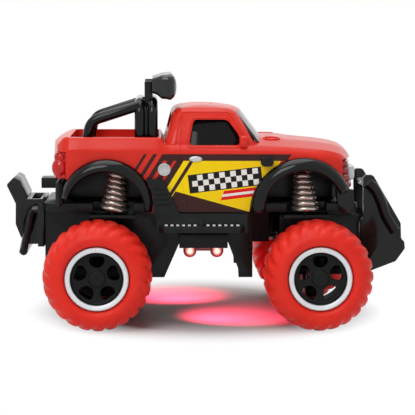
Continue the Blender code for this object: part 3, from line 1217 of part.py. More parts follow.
def tail_lamp_place():
    """Middle of the left tail lamp, on the rear corner of the body."""
    tail = BODY_STATIONS[0]
    return (tail.x + TAIL_LAMP_DEPTH / 2 + 0.4 * MM, tail.half_belt - TAIL_LAMP_WIDTH / 2 + 1.6 * MM,
            TAIL_HEIGHT + GAP + TAIL_LAMP_HEIGHT / 2)


def build_lamps():
    """Ribbed nose block, its headlamps and the tail lamps."""
    rear = NOSE_CUT + GAP
    nose = BODY_STATIONS[-1]
    high = NOSE_HEIGHT - GAP
    levels = []
    step = (high - GRILLE_BOTTOM) / GRILLE_RIBS
    for i in range(GRILLE_RIBS):
        z = GRILLE_BOTTOM + i * step
        levels += [(z, 0.5 * MM), (z + 0.22 * step, 0.0), (z + 0.78 * step, 0.0),
                   (z + step - 0.02 * MM, 0.5 * MM)]
    rings = []
    for z, inset in levels:
        lean = nose.lean * (z - nose.belt)
        half = nose.half_sill - inset - 0.06 * (z - GRILLE_BOTTOM)
        tip = nose.x + lean - inset - 0.3 * MM
        rings.append([Vector(p) for p in ((rear, -half, z), (tip - 2.6 * MM, -half, z),
                                          (tip - 1.4 * MM, -0.72 * half, z),
                                          (tip, 0, z), (tip - 1.4 * MM, 0.72 * half, z),
                                          (tip - 2.6 * MM, half, z),
                                          (rear, half, z))])
    grille = loft(rings)
    d = 3.4 * MM
    front = nose.x - 0.2 * MM
    for side, sign in (("left", 1), ("right", -1)):
        low = (front - d, sign * HEADLAMP_Y - LAMP_WIDTH / 2, HEADLAMP_Z - LAMP_HEIGHT / 2)
        top = (front, sign * HEADLAMP_Y + LAMP_WIDTH / 2, HEADLAMP_Z + LAMP_HEIGHT / 2)
        grow = Vector((GAP, GAP, GAP))
        grille = cut(grille, box(Vector(low) - grow, Vector(top) + grow + Vector((5 * MM, 0, 0))))
        part(f"headlamp_{side}", bevelled(box(low, top), 0.8 * MM), "lamp_clear")
    part("front_grille", grille, "dark_red")
    x, y, z = tail_lamp_place()
    d, w, h = TAIL_LAMP_DEPTH / 2, TAIL_LAMP_WIDTH / 2, TAIL_LAMP_HEIGHT / 2
    for side, sign in (("left", 1), ("right", -1)):
        lens = bevelled(box((x - d, sign * y - w, z - h), (x + d, sign * y + w, z + h)), 1.3 * MM, 2)
        part(f"tail_lamp_{side}", lens, "lamp_red")


def flare_width(t, ends):
    """Width of an arch trim at a share of the way round it."""
    at_end = ends[0] if t < 0.5 else ends[1]
    return FLARE_WIDTH + (at_end - FLARE_WIDTH) * (2 * abs(t - 0.5)) ** 2


def flare_mesh(centre, sign, span, ends):
    """Arch trim swept round a wheel opening, standing off the body's side."""
    steps = 12
    rings = []
    for i in range(steps + 1):
        t = i / steps
        angle = span[0] + (span[1] - span[0]) * t
        width = flare_width(t, ends)
        section = ((0.0, 0.0), (0.0, 0.8), (0.22, 1.0), (0.62, 0.86), (1.0, 0.30), (1.0, 0.0))
        ring = []
        for radial, out in section:
            r = ARCH_RADIUS + radial * width
            x, z = centre[0] + r * math.cos(angle), centre[1] + r * math.sin(angle)
            y = side_reach(x, z) + GAP + 0.05 * MM + out * FLARE_DEPTH
            ring.append(Vector((x, sign * y, z)))
        rings.append(ring)
    return loft(rings)


def build_trim():
    """Arch flares, fender vents and side sills."""
    for side, sign in (("left", 1), ("right", -1)):
        rear = flare_mesh(ARCH_REAR, sign, FLARE_REAR_SPAN, FLARE_REAR_ENDS)
        front = flare_mesh(ARCH_FRONT, sign, FLARE_FRONT_SPAN, FLARE_FRONT_ENDS)
        part(f"fender_flare_rear_{side}", rear, "black_gloss")
        part(f"fender_flare_front_{side}", front, "black_gloss")
        y = side_reach(VENT_X, VENT_Z) + GAP + 0.1 * MM
        corners = [(VENT_X - VENT_LENGTH / 2, VENT_Z - VENT_HEIGHT / 2),
                   (VENT_X + VENT_LENGTH / 2, VENT_Z - VENT_HEIGHT / 2),
                   (VENT_X + VENT_LENGTH / 2, VENT_Z + VENT_HEIGHT / 2),
                   (VENT_X - VENT_LENGTH / 2, VENT_Z + VENT_HEIGHT / 2)]
        vent = plate([rounded(corners, 1.2 * MM)], y, y + VENT_DEPTH, "XZ")
        part(f"fender_vent_{side}", vent if sign > 0 else mirrored_once(vent), "black_gloss")

        sill = sill_mesh()
        part(f"side_sill_{side}", sill if sign > 0 else mirrored_once(sill), "black_satin")


def sill_mesh():
    """Left rocker wall with its running board, tread ribs and the louvred panel above its rear end."""
    top = SILL_HEIGHT - GAP
    inner = SIDE_PLATE_OUTER + GAP
    step_top = top - STEP_DROP
    step_low = step_top - STEP_THICKNESS
    side = side_reach(0.0, SILL_HEIGHT)
    wall = side + ROCKER_BULGE
    flange = side - BODY_WALL
    section = [(flange, top), (wall, top), (wall + 0.4 * MM, step_top), (wall + 0.4 * MM, step_low),
               (inner, step_low), (inner, step_low + ROCKER_WALL),
               (wall - ROCKER_WALL, step_low + ROCKER_WALL), (wall - ROCKER_WALL, top - ROCKER_WALL),
               (flange, top - ROCKER_WALL)]
    sill = plate([section], SILL_REAR, SILL_FRONT, "YZ")
    plan = [(SILL_REAR, wall - ROCKER_WALL), (SILL_FRONT, wall - ROCKER_WALL),
            (SILL_FRONT - STEP_TAPER, STEP_REACH), (SILL_REAR + STEP_TAPER, STEP_REACH)]
    sill = join(sill, plate([rounded(plan, 1 * MM)], step_low + 0.3 * MM, step_top, "XY"))
    start, end = SILL_REAR + STEP_TAPER, SILL_FRONT - STEP_TAPER
    margin = 1.2 * MM
    for low_x, high_x in ((start, TREAD_MIDDLE - margin), (TREAD_MIDDLE + margin, end)):
        pitch = (high_x - low_x) / TREAD_RIBS
        for i in range(TREAD_RIBS):
            x = low_x + (i + 0.25) * pitch
            sill = join(sill, box((x, wall + 0.9 * MM, step_top - 0.5 * MM),
                                  (x + 0.5 * pitch, STEP_REACH - 0.6 * MM, step_top + 0.35 * MM)))
    rib = box((TREAD_MIDDLE - 0.4 * MM, wall - 0.4 * MM, step_top - 0.5 * MM),
              (TREAD_MIDDLE + 0.4 * MM, wall + 1.2 * MM, top - 1.4 * MM))
    return join(sill, rib, louvre_panel())


def louvre_panel():
    """Left panel with slots between the rear flare and the door, leaning with the body's side."""
    low = SILL_HEIGHT - GAP - ROCKER_WALL
    start, end = FLARE_REAR_SPAN
    edge = []
    steps = 4
    for i in range(steps + 1):
        angle = (0.15 + 0.85 * i / steps) * LOUVRE_REACH
        r = ARCH_RADIUS + flare_width((angle - start) / (end - start), FLARE_REAR_ENDS) + GAP
        edge.append((ARCH_REAR[0] + r * math.cos(angle), ARCH_REAR[1] + r * math.sin(angle)))
    high = edge[-1][1]
    outline = [(edge[0][0], low)] + edge + [(LOUVRE_TOP_FRONT, high), (LOUVRE_LOW_FRONT, low)]
    panel = plate([outline], 0.0, LOUVRE_DEPTH, "XZ")
    for i in range(LOUVRE_COUNT):
        z = high - 3.2 * MM - i * LOUVRE_PITCH
        t = (high - z) / (high - low)
        front = LOUVRE_TOP_FRONT + t * (LOUVRE_LOW_FRONT - LOUVRE_TOP_FRONT) - 1.1 * MM
        rear = max(x for x, _ in edge) + 0.5 * MM
        panel = cut(panel, box((rear, 0.5 * LOUVRE_DEPTH, z - 0.36 * LOUVRE_PITCH),
                               (front, 2 * LOUVRE_DEPTH, z)))
    foot = side_reach(LOUVRE_TOP_FRONT, SILL_HEIGHT)
    lean = (side_reach(LOUVRE_TOP_FRONT, high) - foot) / (high - SILL_HEIGHT)
    shear = Matrix.Identity(4)
    shear[1][2] = lean
    shear[1][3] = foot + GAP + 0.1 * MM - lean * SILL_HEIGHT
    panel.data.transform(shear)
    return panel


# Bars and bumpers

def build_bars():
    """Double bed hoop with stays and lamp posts, and the light bar on the posts."""
    foot = BED_FLOOR + GAP
    top = HOOP_TOP - BAR_RADIUS
    half = HOOP_HALF_WIDTH
    bar = None
    for x in (HOOP_REAR_X, HOOP_FRONT_X):
        path = bend([(x, -half, foot - 1 * MM), (x, -half + 0.8 * MM, top), (x, half - 0.8 * MM, top),
                     (x, half, foot - 1 * MM)], HOOP_CORNER, 2)
        hoop = tube(path, BAR_RADIUS)
        bar = hoop if bar is None else join(bar, hoop)
    for sign in (-1, 1):
        y = sign * (half - 1.2 * MM)
        path = bend([(HOOP_REAR_X, y, top - 0.8 * MM), (STAY_KNEE_X, y, STAY_KNEE_Z),
                     (STAY_FOOT_X, y, foot - 1 * MM)], 4 * MM, 2)
        bar = join(bar, tube(path, BAR_RADIUS))
        link = box((HOOP_REAR_X, y - 0.6 * MM, foot + 1.2 * MM),
                   (HOOP_FRONT_X, y + 1.0 * MM, top - 4.3 * MM))
        bar = join(bar, link)
    light_low = LIGHT_BAR_TOP - LIGHT_BAR_HEIGHT
    back = LIGHT_BAR_REAR - GAP
    for y in (-POST_Y, POST_Y):
        post = box((back - POST_WIDTH, y - POST_WIDTH / 2, top - 0.5 * MM),
                   (back, y + POST_WIDTH / 2, LIGHT_BAR_TOP - 2.6 * MM))
        bridge_half = POST_WIDTH / 2 - 0.4 * MM
        bridge = box((HOOP_REAR_X, y - bridge_half, top - 1.1 * MM),
                     (HOOP_FRONT_X, y + bridge_half, top + 0.9 * MM))
        bar = join(bar, post, bridge)
    below = box((BED_REAR, -BED_HALF_WIDTH, foot - 5 * MM), (BED_FRONT, BED_HALF_WIDTH, foot))
    part("roll_bar", cut(bar, below), "black_satin")

    front = LIGHT_BAR_REAR + LIGHT_BAR_DEPTH
    lens = [(front + LIGHT_LENS_BULGE * math.sin(math.pi * i / 4), light_low + LIGHT_BAR_HEIGHT * i / 4)
            for i in range(5)]
    outline = [(LIGHT_BAR_REAR, light_low + 0.6 * MM)] + lens + [
        (LIGHT_BAR_REAR + 2.8 * MM, LIGHT_BAR_TOP - 0.5 * MM), (LIGHT_BAR_REAR, LIGHT_BAR_TOP - 2.7 * MM)]
    light = plate([outline], -LIGHT_BAR_HALF_WIDTH, LIGHT_BAR_HALF_WIDTH, "XZ")
    pitch = 2 * LIGHT_BAR_HALF_WIDTH / LIGHT_COUNT
    for i in range(1, LIGHT_COUNT):
        y = -LIGHT_BAR_HALF_WIDTH + i * pitch
        groove = box((front - 0.8 * MM, y - 0.7 * MM, light_low - 1 * MM),
                     (front + 5 * MM, y + 0.7 * MM, LIGHT_BAR_TOP + 1 * MM))
        light = cut(light, groove)
    clear = box((LIGHT_BAR_REAR - 1 * MM, -LIGHT_BAR_HALF_WIDTH - 1 * MM, light_low - 2 * MM),
                (HOOP_FRONT_X + BAR_RADIUS + GAP, LIGHT_BAR_HALF_WIDTH + 1 * MM, HOOP_TOP + GAP))
    part("light_bar", cut(light, clear), "black_gloss")


def build_bumpers():
    """Front bumper of two towers and tubes over a skid, and the rear bumper with its hooked hitch."""
    base = STEERING_FRONT + GAP
    reach = FRONT_REACH - base
    low = STEERING_BOX_BOTTOM - 1 * MM

    def ahead(share, height):
        """Point of the front bumper at a share of its reach and a height above its foot."""
        return base + share * reach, low + height * MM

    tower = rounded([ahead(*p) for p in ((0, 0), (0.217, 0), (0.796, 3.5), (1, 8), (0.987, 10.4),
                                         (0.911, 11.6), (0.898, 17), (0.261, 34), (0.045, 34),
                                         (0.064, 19), (0, 18))], 0.9 * MM, 1)
    bumper = None
    for sign in (-1, 1):
        span = sorted((sign * BUMPER_PLATE_INNER, sign * BUMPER_PLATE_OUTER))
        side = plate([tower], *span, "XZ")
        line = [ahead(*p) for p in ((0.312, 30), (0.401, 25), (0.529, 20.4), (0.72, 15.4))]
        rib = tube([Vector((x, sign * BUMPER_PLATE_OUTER, z)) for x, z in line], 1.1 * MM, 1)
        side = join(side, rib)
        bumper = side if bumper is None else join_over_gap(bumper, side, base, low)
    for x, z in (ahead(0.185, 30), ahead(0.656, 18.6)):
        start = Vector((x, -BUMPER_PLATE_INNER - 1 * MM, z))
        bumper = join(bumper, rod(BUMPER_TUBE_RADIUS, start, 2 * BUMPER_PLATE_INNER + 2 * MM, "Y", 10))
    blade = [ahead(*p) for p in ((0.191, 0.4), (0.783, 4), (0.975, 8.2), (0.86, 9.6), (0.707, 6),
                                 (0.191, 2.6))]
    skid = plate([blade], -BUMPER_PLATE_INNER - 1 * MM, BUMPER_PLATE_INNER + 1 * MM, "XZ")
    part("front_bumper", join(bumper, skid), "black_satin")

    back = DECK_REAR - GAP
    length = back - REAR_REACH
    foot = FLOOR - 2 * MM
    half = HITCH_HALF_WIDTH

    def behind(share, height):
        """Point of the rear bumper at a share of the way from its tip to the deck."""
        return REAR_REACH + share * length, foot + height * MM

    hook = rounded([behind(*p) for p in ((-0.006, 21.4), (0.182, 24), (0.318, 23), (0.53, 17), (0.394, 14),
                                         (0.409, 8), (0.561, 3.4), (0.636, 0), (0.364, 3), (0.227, 7.6),
                                         (0.235, 14.8))], 0.5 * MM, 1)
    (shelf_x, shelf_low), (slot_x, shelf_top) = behind(0.424, 14.6), behind(0.636, 16.4)
    slot_end, plate_x = behind(0.879, 0)[0], behind(0.833, 0)[0]
    rear_plate = box((plate_x, -BUMPER_PLATE_OUTER, foot), (back, BUMPER_PLATE_OUTER, foot + 15 * MM))
    shelf = box((shelf_x, -half, shelf_low), (back, half, shelf_top))
    slot = box((slot_x, -half + 2 * MM, shelf_low - 0.6 * MM),
               (slot_end, half - 2 * MM, shelf_top + 0.6 * MM))
    bumper = cut(join(plate([hook], -half, half, "XZ"), shelf), slot)
    bumper = join(bumper, rear_plate)
    for sign in (-1, 1):
        span = sorted((sign * (half - 2.4 * MM), sign * (half - 0.4 * MM)))
        web = plate([[behind(*p) for p in ((0.326, 15.3), (0.311, 7.7), (0.576, 0.5), (0.924, 0.5),
                                           (0.924, 15.3))]], *span, "XZ")
        y = sign * (BUMPER_PLATE_OUTER - 1.6 * MM)
        line = [behind(*p) for p in ((0.924, 13), (0.667, 13), (0.424, -2.6))]
        path = bend([(x, y, z) for x, z in line], 2.4 * MM)
        bumper = join(bumper, web, tube(path, BUMPER_TUBE_RADIUS))
    x, z = behind(0.447, -1.8)
    cross = rod(BUMPER_TUBE_RADIUS, (x, -BUMPER_PLATE_OUTER + 0.6 * MM, z),
                2 * BUMPER_PLATE_OUTER - 1.2 * MM, "Y", 10)
    part("rear_bumper", join(bumper, cross), "black_satin")


def join_over_gap(first, second, base, low):
    """Unite the two towers of the front bumper through the plate that is screwed to the chassis."""
    foot = box((base, -BUMPER_PLATE_INNER - 1 * MM, low + 2 * MM),
               (base + 2 * MM, BUMPER_PLATE_INNER + 1 * MM, low + 17 * MM))
    return join(first, foot, second)


for old in list(bpy.data.objects):
    bpy.data.objects.remove(old)
PARTS = collection("remote_control_car")
CUTTERS = collection("cutters", hidden=True)

build_chassis()
build_chassis_cover()
build_power()
build_drive()
build_steering()
build_wheels()
build_shocks()
build_underglow()
build_body()
build_lamps()
build_trim()
build_bars()
build_bumpers()
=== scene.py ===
"""Looks of a palm-size toy monster pickup: finishes, tyres, springs, trim, studio and camera.

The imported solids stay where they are. This script rounds and paints them, and builds the pieces whose
surface is finer than a solid needs. Lengths are in metres where no other unit is given, +X is the car's
front and +Z is up.
"""
import logging
import math
from dataclasses import dataclass
from enum import Enum
from functools import cache, partial, reduce
from typing import NamedTuple, Sequence

import bmesh
import bpy
from mathutils import Matrix, Vector
from mathutils.bvhtree import BVHTree


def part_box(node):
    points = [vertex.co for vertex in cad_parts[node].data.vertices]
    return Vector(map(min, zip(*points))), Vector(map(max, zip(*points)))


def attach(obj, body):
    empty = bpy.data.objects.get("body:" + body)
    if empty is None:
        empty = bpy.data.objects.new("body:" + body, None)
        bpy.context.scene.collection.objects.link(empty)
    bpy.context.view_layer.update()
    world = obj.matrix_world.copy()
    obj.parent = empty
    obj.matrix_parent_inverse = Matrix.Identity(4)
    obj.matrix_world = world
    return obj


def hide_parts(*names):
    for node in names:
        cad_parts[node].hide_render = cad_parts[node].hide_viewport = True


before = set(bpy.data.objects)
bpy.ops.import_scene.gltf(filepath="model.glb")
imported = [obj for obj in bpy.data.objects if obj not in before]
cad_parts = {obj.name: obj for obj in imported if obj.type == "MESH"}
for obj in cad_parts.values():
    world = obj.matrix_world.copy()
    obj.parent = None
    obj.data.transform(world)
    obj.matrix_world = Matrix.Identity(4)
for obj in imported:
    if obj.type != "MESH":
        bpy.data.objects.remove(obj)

LOG = logging.getLogger("pickup")
MM = 0.001
PHOTO_PIXELS = 415
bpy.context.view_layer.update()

TONE_SPAN = (0.35, 0.75)
WANDER_SPAN = (0.3, 0.7)
COAT_ROUGHNESS = 0.06
LENS_IOR = 1.49
WHITE = (1.0, 1.0, 1.0)
SEEN_RAYS = ("Is Camera Ray", "Is Glossy Ray", "Is Transmission Ray")
CORNER_SHARE = 0.48
BEND_SHARE = 0.45

Pair = tuple[float, float]
Triple = tuple[float, float, float]
Colour = Triple
Mesh = bpy.types.Mesh
Socket = bpy.types.NodeSocket
Value = Socket | float


class Half(Enum):
    """A half of the car, by the sign of its coordinate."""

    @property
    def word(self) -> str:
        """Word for this half in the names of nodes."""
        return self.name.lower()


class Side(Half):
    """The car's two sides, by the sign of Y."""

    LEFT = 1
    RIGHT = -1


class End(Half):
    """The car's two ends, by the sign of X."""

    FRONT = 1
    REAR = -1


def linear(red: int, green: int, blue: int) -> Colour:
    """Linear colour of a display colour.

    Args:
        red: Red from 0 to 255.
        green: Green from 0 to 255.
        blue: Blue from 0 to 255.

    Returns:
        The same colour as the shaders take it.
    """
    def channel(value: int) -> float:
        """One channel on the display curve."""
        share = value / 255
        return share / 12.92 if share <= 0.04045 else ((share + 0.055) / 1.055) ** 2.4
    return channel(red), channel(green), channel(blue)


def turns(count: int) -> list[float]:
    """Angles of a full turn in equal steps."""
    return [math.tau * step / count for step in range(count)]


class Wiring:
    """A tree of shader nodes, wired node by node."""

    def __init__(self, tree: bpy.types.NodeTree) -> None:
        """Keep the tree."""
        self.tree = tree

    def feed(self, target: Socket, value: object) -> None:
        """Link a socket to another, or set its own value.

        Args:
            target: The socket.
            value: Another socket, a colour or a number.
        """
        if isinstance(value, bpy.types.NodeSocket):
            self.tree.links.new(value, target)
        elif isinstance(value, tuple) and len(value) == 3 and target.type == "RGBA":
            target.default_value = (*value, 1.0)
        else:
            target.default_value = value

    def node(self, kind: str, settings: dict[str, object] | None = None,
             **inputs: object) -> bpy.types.Node:
        """Add a node.

        Args:
            kind: The node's type name without its ShaderNode prefix.
            settings: Attributes of the node.
            inputs: Values of its sockets, by name with _ for a space.

        Returns:
            The new node.
        """
        made = self.tree.nodes.new("ShaderNode" + kind)
        for name, value in (settings or {}).items():
            setattr(made, name, value)
        for name, value in inputs.items():
            self.feed(made.inputs[name.replace("_", " ")], value)
        return made

    def math(self, operation: str, *values: Value) -> Socket:
        """Add one arithmetic node.

        Args:
            operation: What it does.
            values: What it works on.

        Returns:
            Its result.
        """
        made = self.node("Math", {"operation": operation})
        for target, value in zip(made.inputs, values):
            self.feed(target, value)
        return made.outputs[0]

    def line(self, first: Value, second: Value, share: float, offset: float) -> Socket:
        """first + share * second + offset."""
        return self.math("ADD", self.math("MULTIPLY_ADD", second, share, first), offset)

    def above(self, value: Value, limit: Value) -> Socket:
        """1 where value is above the limit."""
        return self.math("GREATER_THAN", value, limit)

    def within(self, value: Value, low: Value, high: Value) -> Socket:
        """1 where value lies between low and high."""
        return self.math("MULTIPLY", self.above(value, low), self.math("LESS_THAN", value, high))

    def both(self, *masks: Value) -> Socket:
        """1 where all the masks are 1."""
        return reduce(partial(self.math, "MULTIPLY"), masks)

    def either(self, *masks: Value) -> Socket:
        """1 where any of the masks is 1."""
        return reduce(partial(self.math, "MAXIMUM"), masks)

    def distance(self, first: Value, second: Value) -> Socket:
        """Length of the two values as the sides of a right angle."""
        squares = self.math("POWER", first, 2.0), self.math("POWER", second, 2.0)
        return self.math("SQRT", self.math("ADD", *squares))

    def ramp(self, value: Value, low: float, high: float, start: Value = 0.0, end: Value = 1.0) -> Socket:
        """Value mapped from low..high to start..end, held at both ends."""
        made = self.node("MapRange", {"clamp": True}, Value=value, From_Min=low, From_Max=high,
                         To_Min=start, To_Max=end)
        return made.outputs["Result"]

    def mix(self, share: Value, first: Socket | Colour, second: Socket | Colour) -> Socket:
        """Blend two colours.

        Args:
            share: 0 for the first colour, 1 for the second.
            first: The first colour.
            second: The second colour.

        Returns:
            The blend.
        """
        made = self.node("Mix", {"data_type": "RGBA"})
        self.feed(made.inputs["Factor"], share)
        self.feed(made.inputs[6], first)
        self.feed(made.inputs[7], second)
        return made.outputs[2]

    def seen(self) -> Socket:
        """1 on rays whose end is seen, straight, in a mirror or through glass."""
        rays = self.node("LightPath").outputs
        return self.either(*(rays[name] for name in SEEN_RAYS))


class Shader(Wiring):
    """One procedural material."""

    def __init__(self, name: str) -> None:
        """Start an empty material around its surface shader.

        Args:
            name: Name of the material.
        """
        self.material = bpy.data.materials.new(name)
        self.material.use_nodes = True
        super().__init__(self.material.node_tree)
        self.surface = self.tree.nodes["Principled BSDF"]
        self._place: tuple[Socket, Socket, Socket] | None = None
        self._vector: Socket | None = None

    def set(self, **inputs: object) -> None:
        """Set or link sockets of the surface shader, by name with _ for a space."""
        for name, value in inputs.items():
            self.feed(self.surface.inputs[name.replace("_", " ")], value)

    def vector(self) -> Socket:
        """Place on the object as one vector.

        Returns:
            The place in millimetres.
        """
        if self._vector is None:
            place = self.node("TexCoord").outputs["Object"]
            scaled = self.node("VectorMath", {"operation": "SCALE"}, Vector=place, Scale=1 / MM)
            self._vector = scaled.outputs["Vector"]
        return self._vector

    def place(self) -> tuple[Socket, Socket, Socket]:
        """Place on the object, axis by axis.

        Returns:
            X, Y and Z in millimetres.
        """
        if self._place is None:
            split = self.node("SeparateXYZ", Vector=self.vector())
            self._place = split.outputs["X"], split.outputs["Y"], split.outputs["Z"]
        return self._place

    def noise(self, size: float, detail: float = 3.0) -> Socket:
        """Soft noise from 0 to 1.

        Args:
            size: Size of its patches in millimetres.
            detail: Octaves of finer noise.

        Returns:
            The noise's value.
        """
        return self.node("TexNoise", Vector=self.vector(), Scale=1 / size, Detail=detail).outputs["Fac"]

    def relief(self, height: Socket, depth: float) -> None:
        """Give the surface a fine relief.

        Args:
            height: Height from 0 to 1.
            depth: Depth of the relief in metres.
        """
        self.set(Normal=self.node("Bump", Strength=1.0, Distance=depth, Height=height).outputs["Normal"])


@dataclass(frozen=True)
class Finish:
    """A moulded, painted or plated surface with drift in its tone and a fine grain.

    Attributes:
        name: Name of the material.
        colour: Main colour.
        shade: Colour that the tone drifts to.
        roughness: Mean roughness.
        drift: How far the roughness wanders.
        metallic: 1 on plated and bare metal.
        coat: Strength of a clear coat.
        specular: Level of the mirror reflection.
        patch: Size of the tone's patches in millimetres.
        grain: Size of the grain in millimetres.
        depth: Depth of the grain in metres.
    """

    name: str
    colour: Colour
    shade: Colour
    roughness: float
    drift: float = 0.08
    metallic: float = 0.0
    coat: float = 0.0
    specular: float = 0.5
    patch: float = 9.0
    grain: float = 0.35
    depth: float = 0.012 * MM

    def tone(self, shader: Shader) -> Socket:
        """Colour of the surface, drifting between its two tones."""
        return shader.mix(shader.ramp(shader.noise(self.patch), *TONE_SPAN), self.colour, self.shade)

    @cache
    def material(self) -> bpy.types.Material:
        """Make the finish's material, once.

        Returns:
            The material.
        """
        shader = Shader(self.name)
        grain = shader.noise(self.grain, 2.0)
        wander = shader.ramp(shader.noise(self.patch / 3), *WANDER_SPAN,
                             self.roughness - self.drift, self.roughness + self.drift)
        shader.set(Base_Color=self.tone(shader), Roughness=wander, Metallic=self.metallic)
        shader.set(Coat_Weight=self.coat, Coat_Roughness=COAT_ROUGHNESS, Specular_IOR_Level=self.specular)
        shader.relief(grain, self.depth)
        self.finish(shader)
        return shader.material

    def finish(self, shader: Shader) -> None:
        """Whatever a finer finish adds to the surface."""


@dataclass(frozen=True)
class LensFinish(Finish):
    """A see-through moulding over a reflector.

    Attributes:
        clear: Share of the light that passes.
    """

    clear: float = 0.5

    def finish(self, shader: Shader) -> None:
        """Let light through."""
        shader.set(Transmission_Weight=self.clear, IOR=LENS_IOR)


@dataclass(frozen=True)
class GlowFinish(Finish):
    """A pair of lit lamp lenses, white at their hearts and coloured at their rims.

    Attributes:
        glow: Colour of the light.
        hot: Colour of its heart.
        strength: Brightness of the heart.
        rim: Brightness away from the heart.
        middle: Place of the pair's middle along X, in millimetres.
        spacing: Distance between the two lenses, in millimetres.
        height: Height of the hearts, in millimetres.
        heart: Radii where a heart starts to fade and where it ends, in millimetres.
    """

    glow: Colour = (0.85, 0.012, 0.012)
    hot: Colour = (1.0, 0.78, 0.62)
    strength: float = 1.6
    rim: float = 0.1
    middle: float = -1.2
    spacing: float = 9.4
    height: float = 25.2
    heart: Pair = (0.5, 1.9)

    def finish(self, shader: Shader) -> None:
        """Light each lens from inside, most at its heart.

        Args:
            shader: The material.
        """
        x, _, z = shader.place()
        along = shader.math("ABSOLUTE", shader.math("SUBTRACT", x, self.middle))
        across = shader.math("SUBTRACT", along, self.spacing / 2)
        away = shader.distance(across, shader.math("SUBTRACT", z, self.height))
        heart = shader.ramp(away, *self.heart, 1.0, 0.0)
        shader.set(Emission_Color=shader.mix(heart, self.glow, self.hot),
                   Emission_Strength=shader.ramp(heart, 0.0, 1.0, self.rim, self.strength))


@dataclass(frozen=True)
class StripedFinish(Finish):
    """A surface with a band of a second colour along X.

    Attributes:
        band: Colour of the band.
        start: Where the band starts, in millimetres along X.
        end: Where it ends.
    """

    band: Colour = (0.8, 0.6, 0.1)
    start: float = 0.0
    end: float = 10.0

    def tone(self, shader: Shader) -> Socket:
        """Main tone with the band laid over it."""
        x, _, _ = shader.place()
        return shader.mix(shader.within(x, self.start, self.end), Finish.tone(self, shader), self.band)


@dataclass(frozen=True)
class BoardFinish(Finish):
    """A printed circuit board with paler tracks.

    Attributes:
        track: Colour of the tracks.
        cells: Cells of their pattern in a millimetre.
        width: Width of a track, as a share of a cell.
    """

    track: Colour = (0.05, 0.22, 0.07)
    cells: float = 0.3
    width: float = 0.09

    def tone(self, shader: Shader) -> Socket:
        """Lay the tracks on as a pattern of right-angled cells.

        Args:
            shader: The material.

        Returns:
            Colour of the board.
        """
        cells = shader.node("TexVoronoi", {"distance": "CHEBYCHEV", "feature": "DISTANCE_TO_EDGE"},
                            Vector=shader.vector(), Scale=self.cells)
        lines = shader.math("LESS_THAN", cells.outputs["Distance"], self.width)
        return shader.mix(lines, Finish.tone(self, shader), self.track)


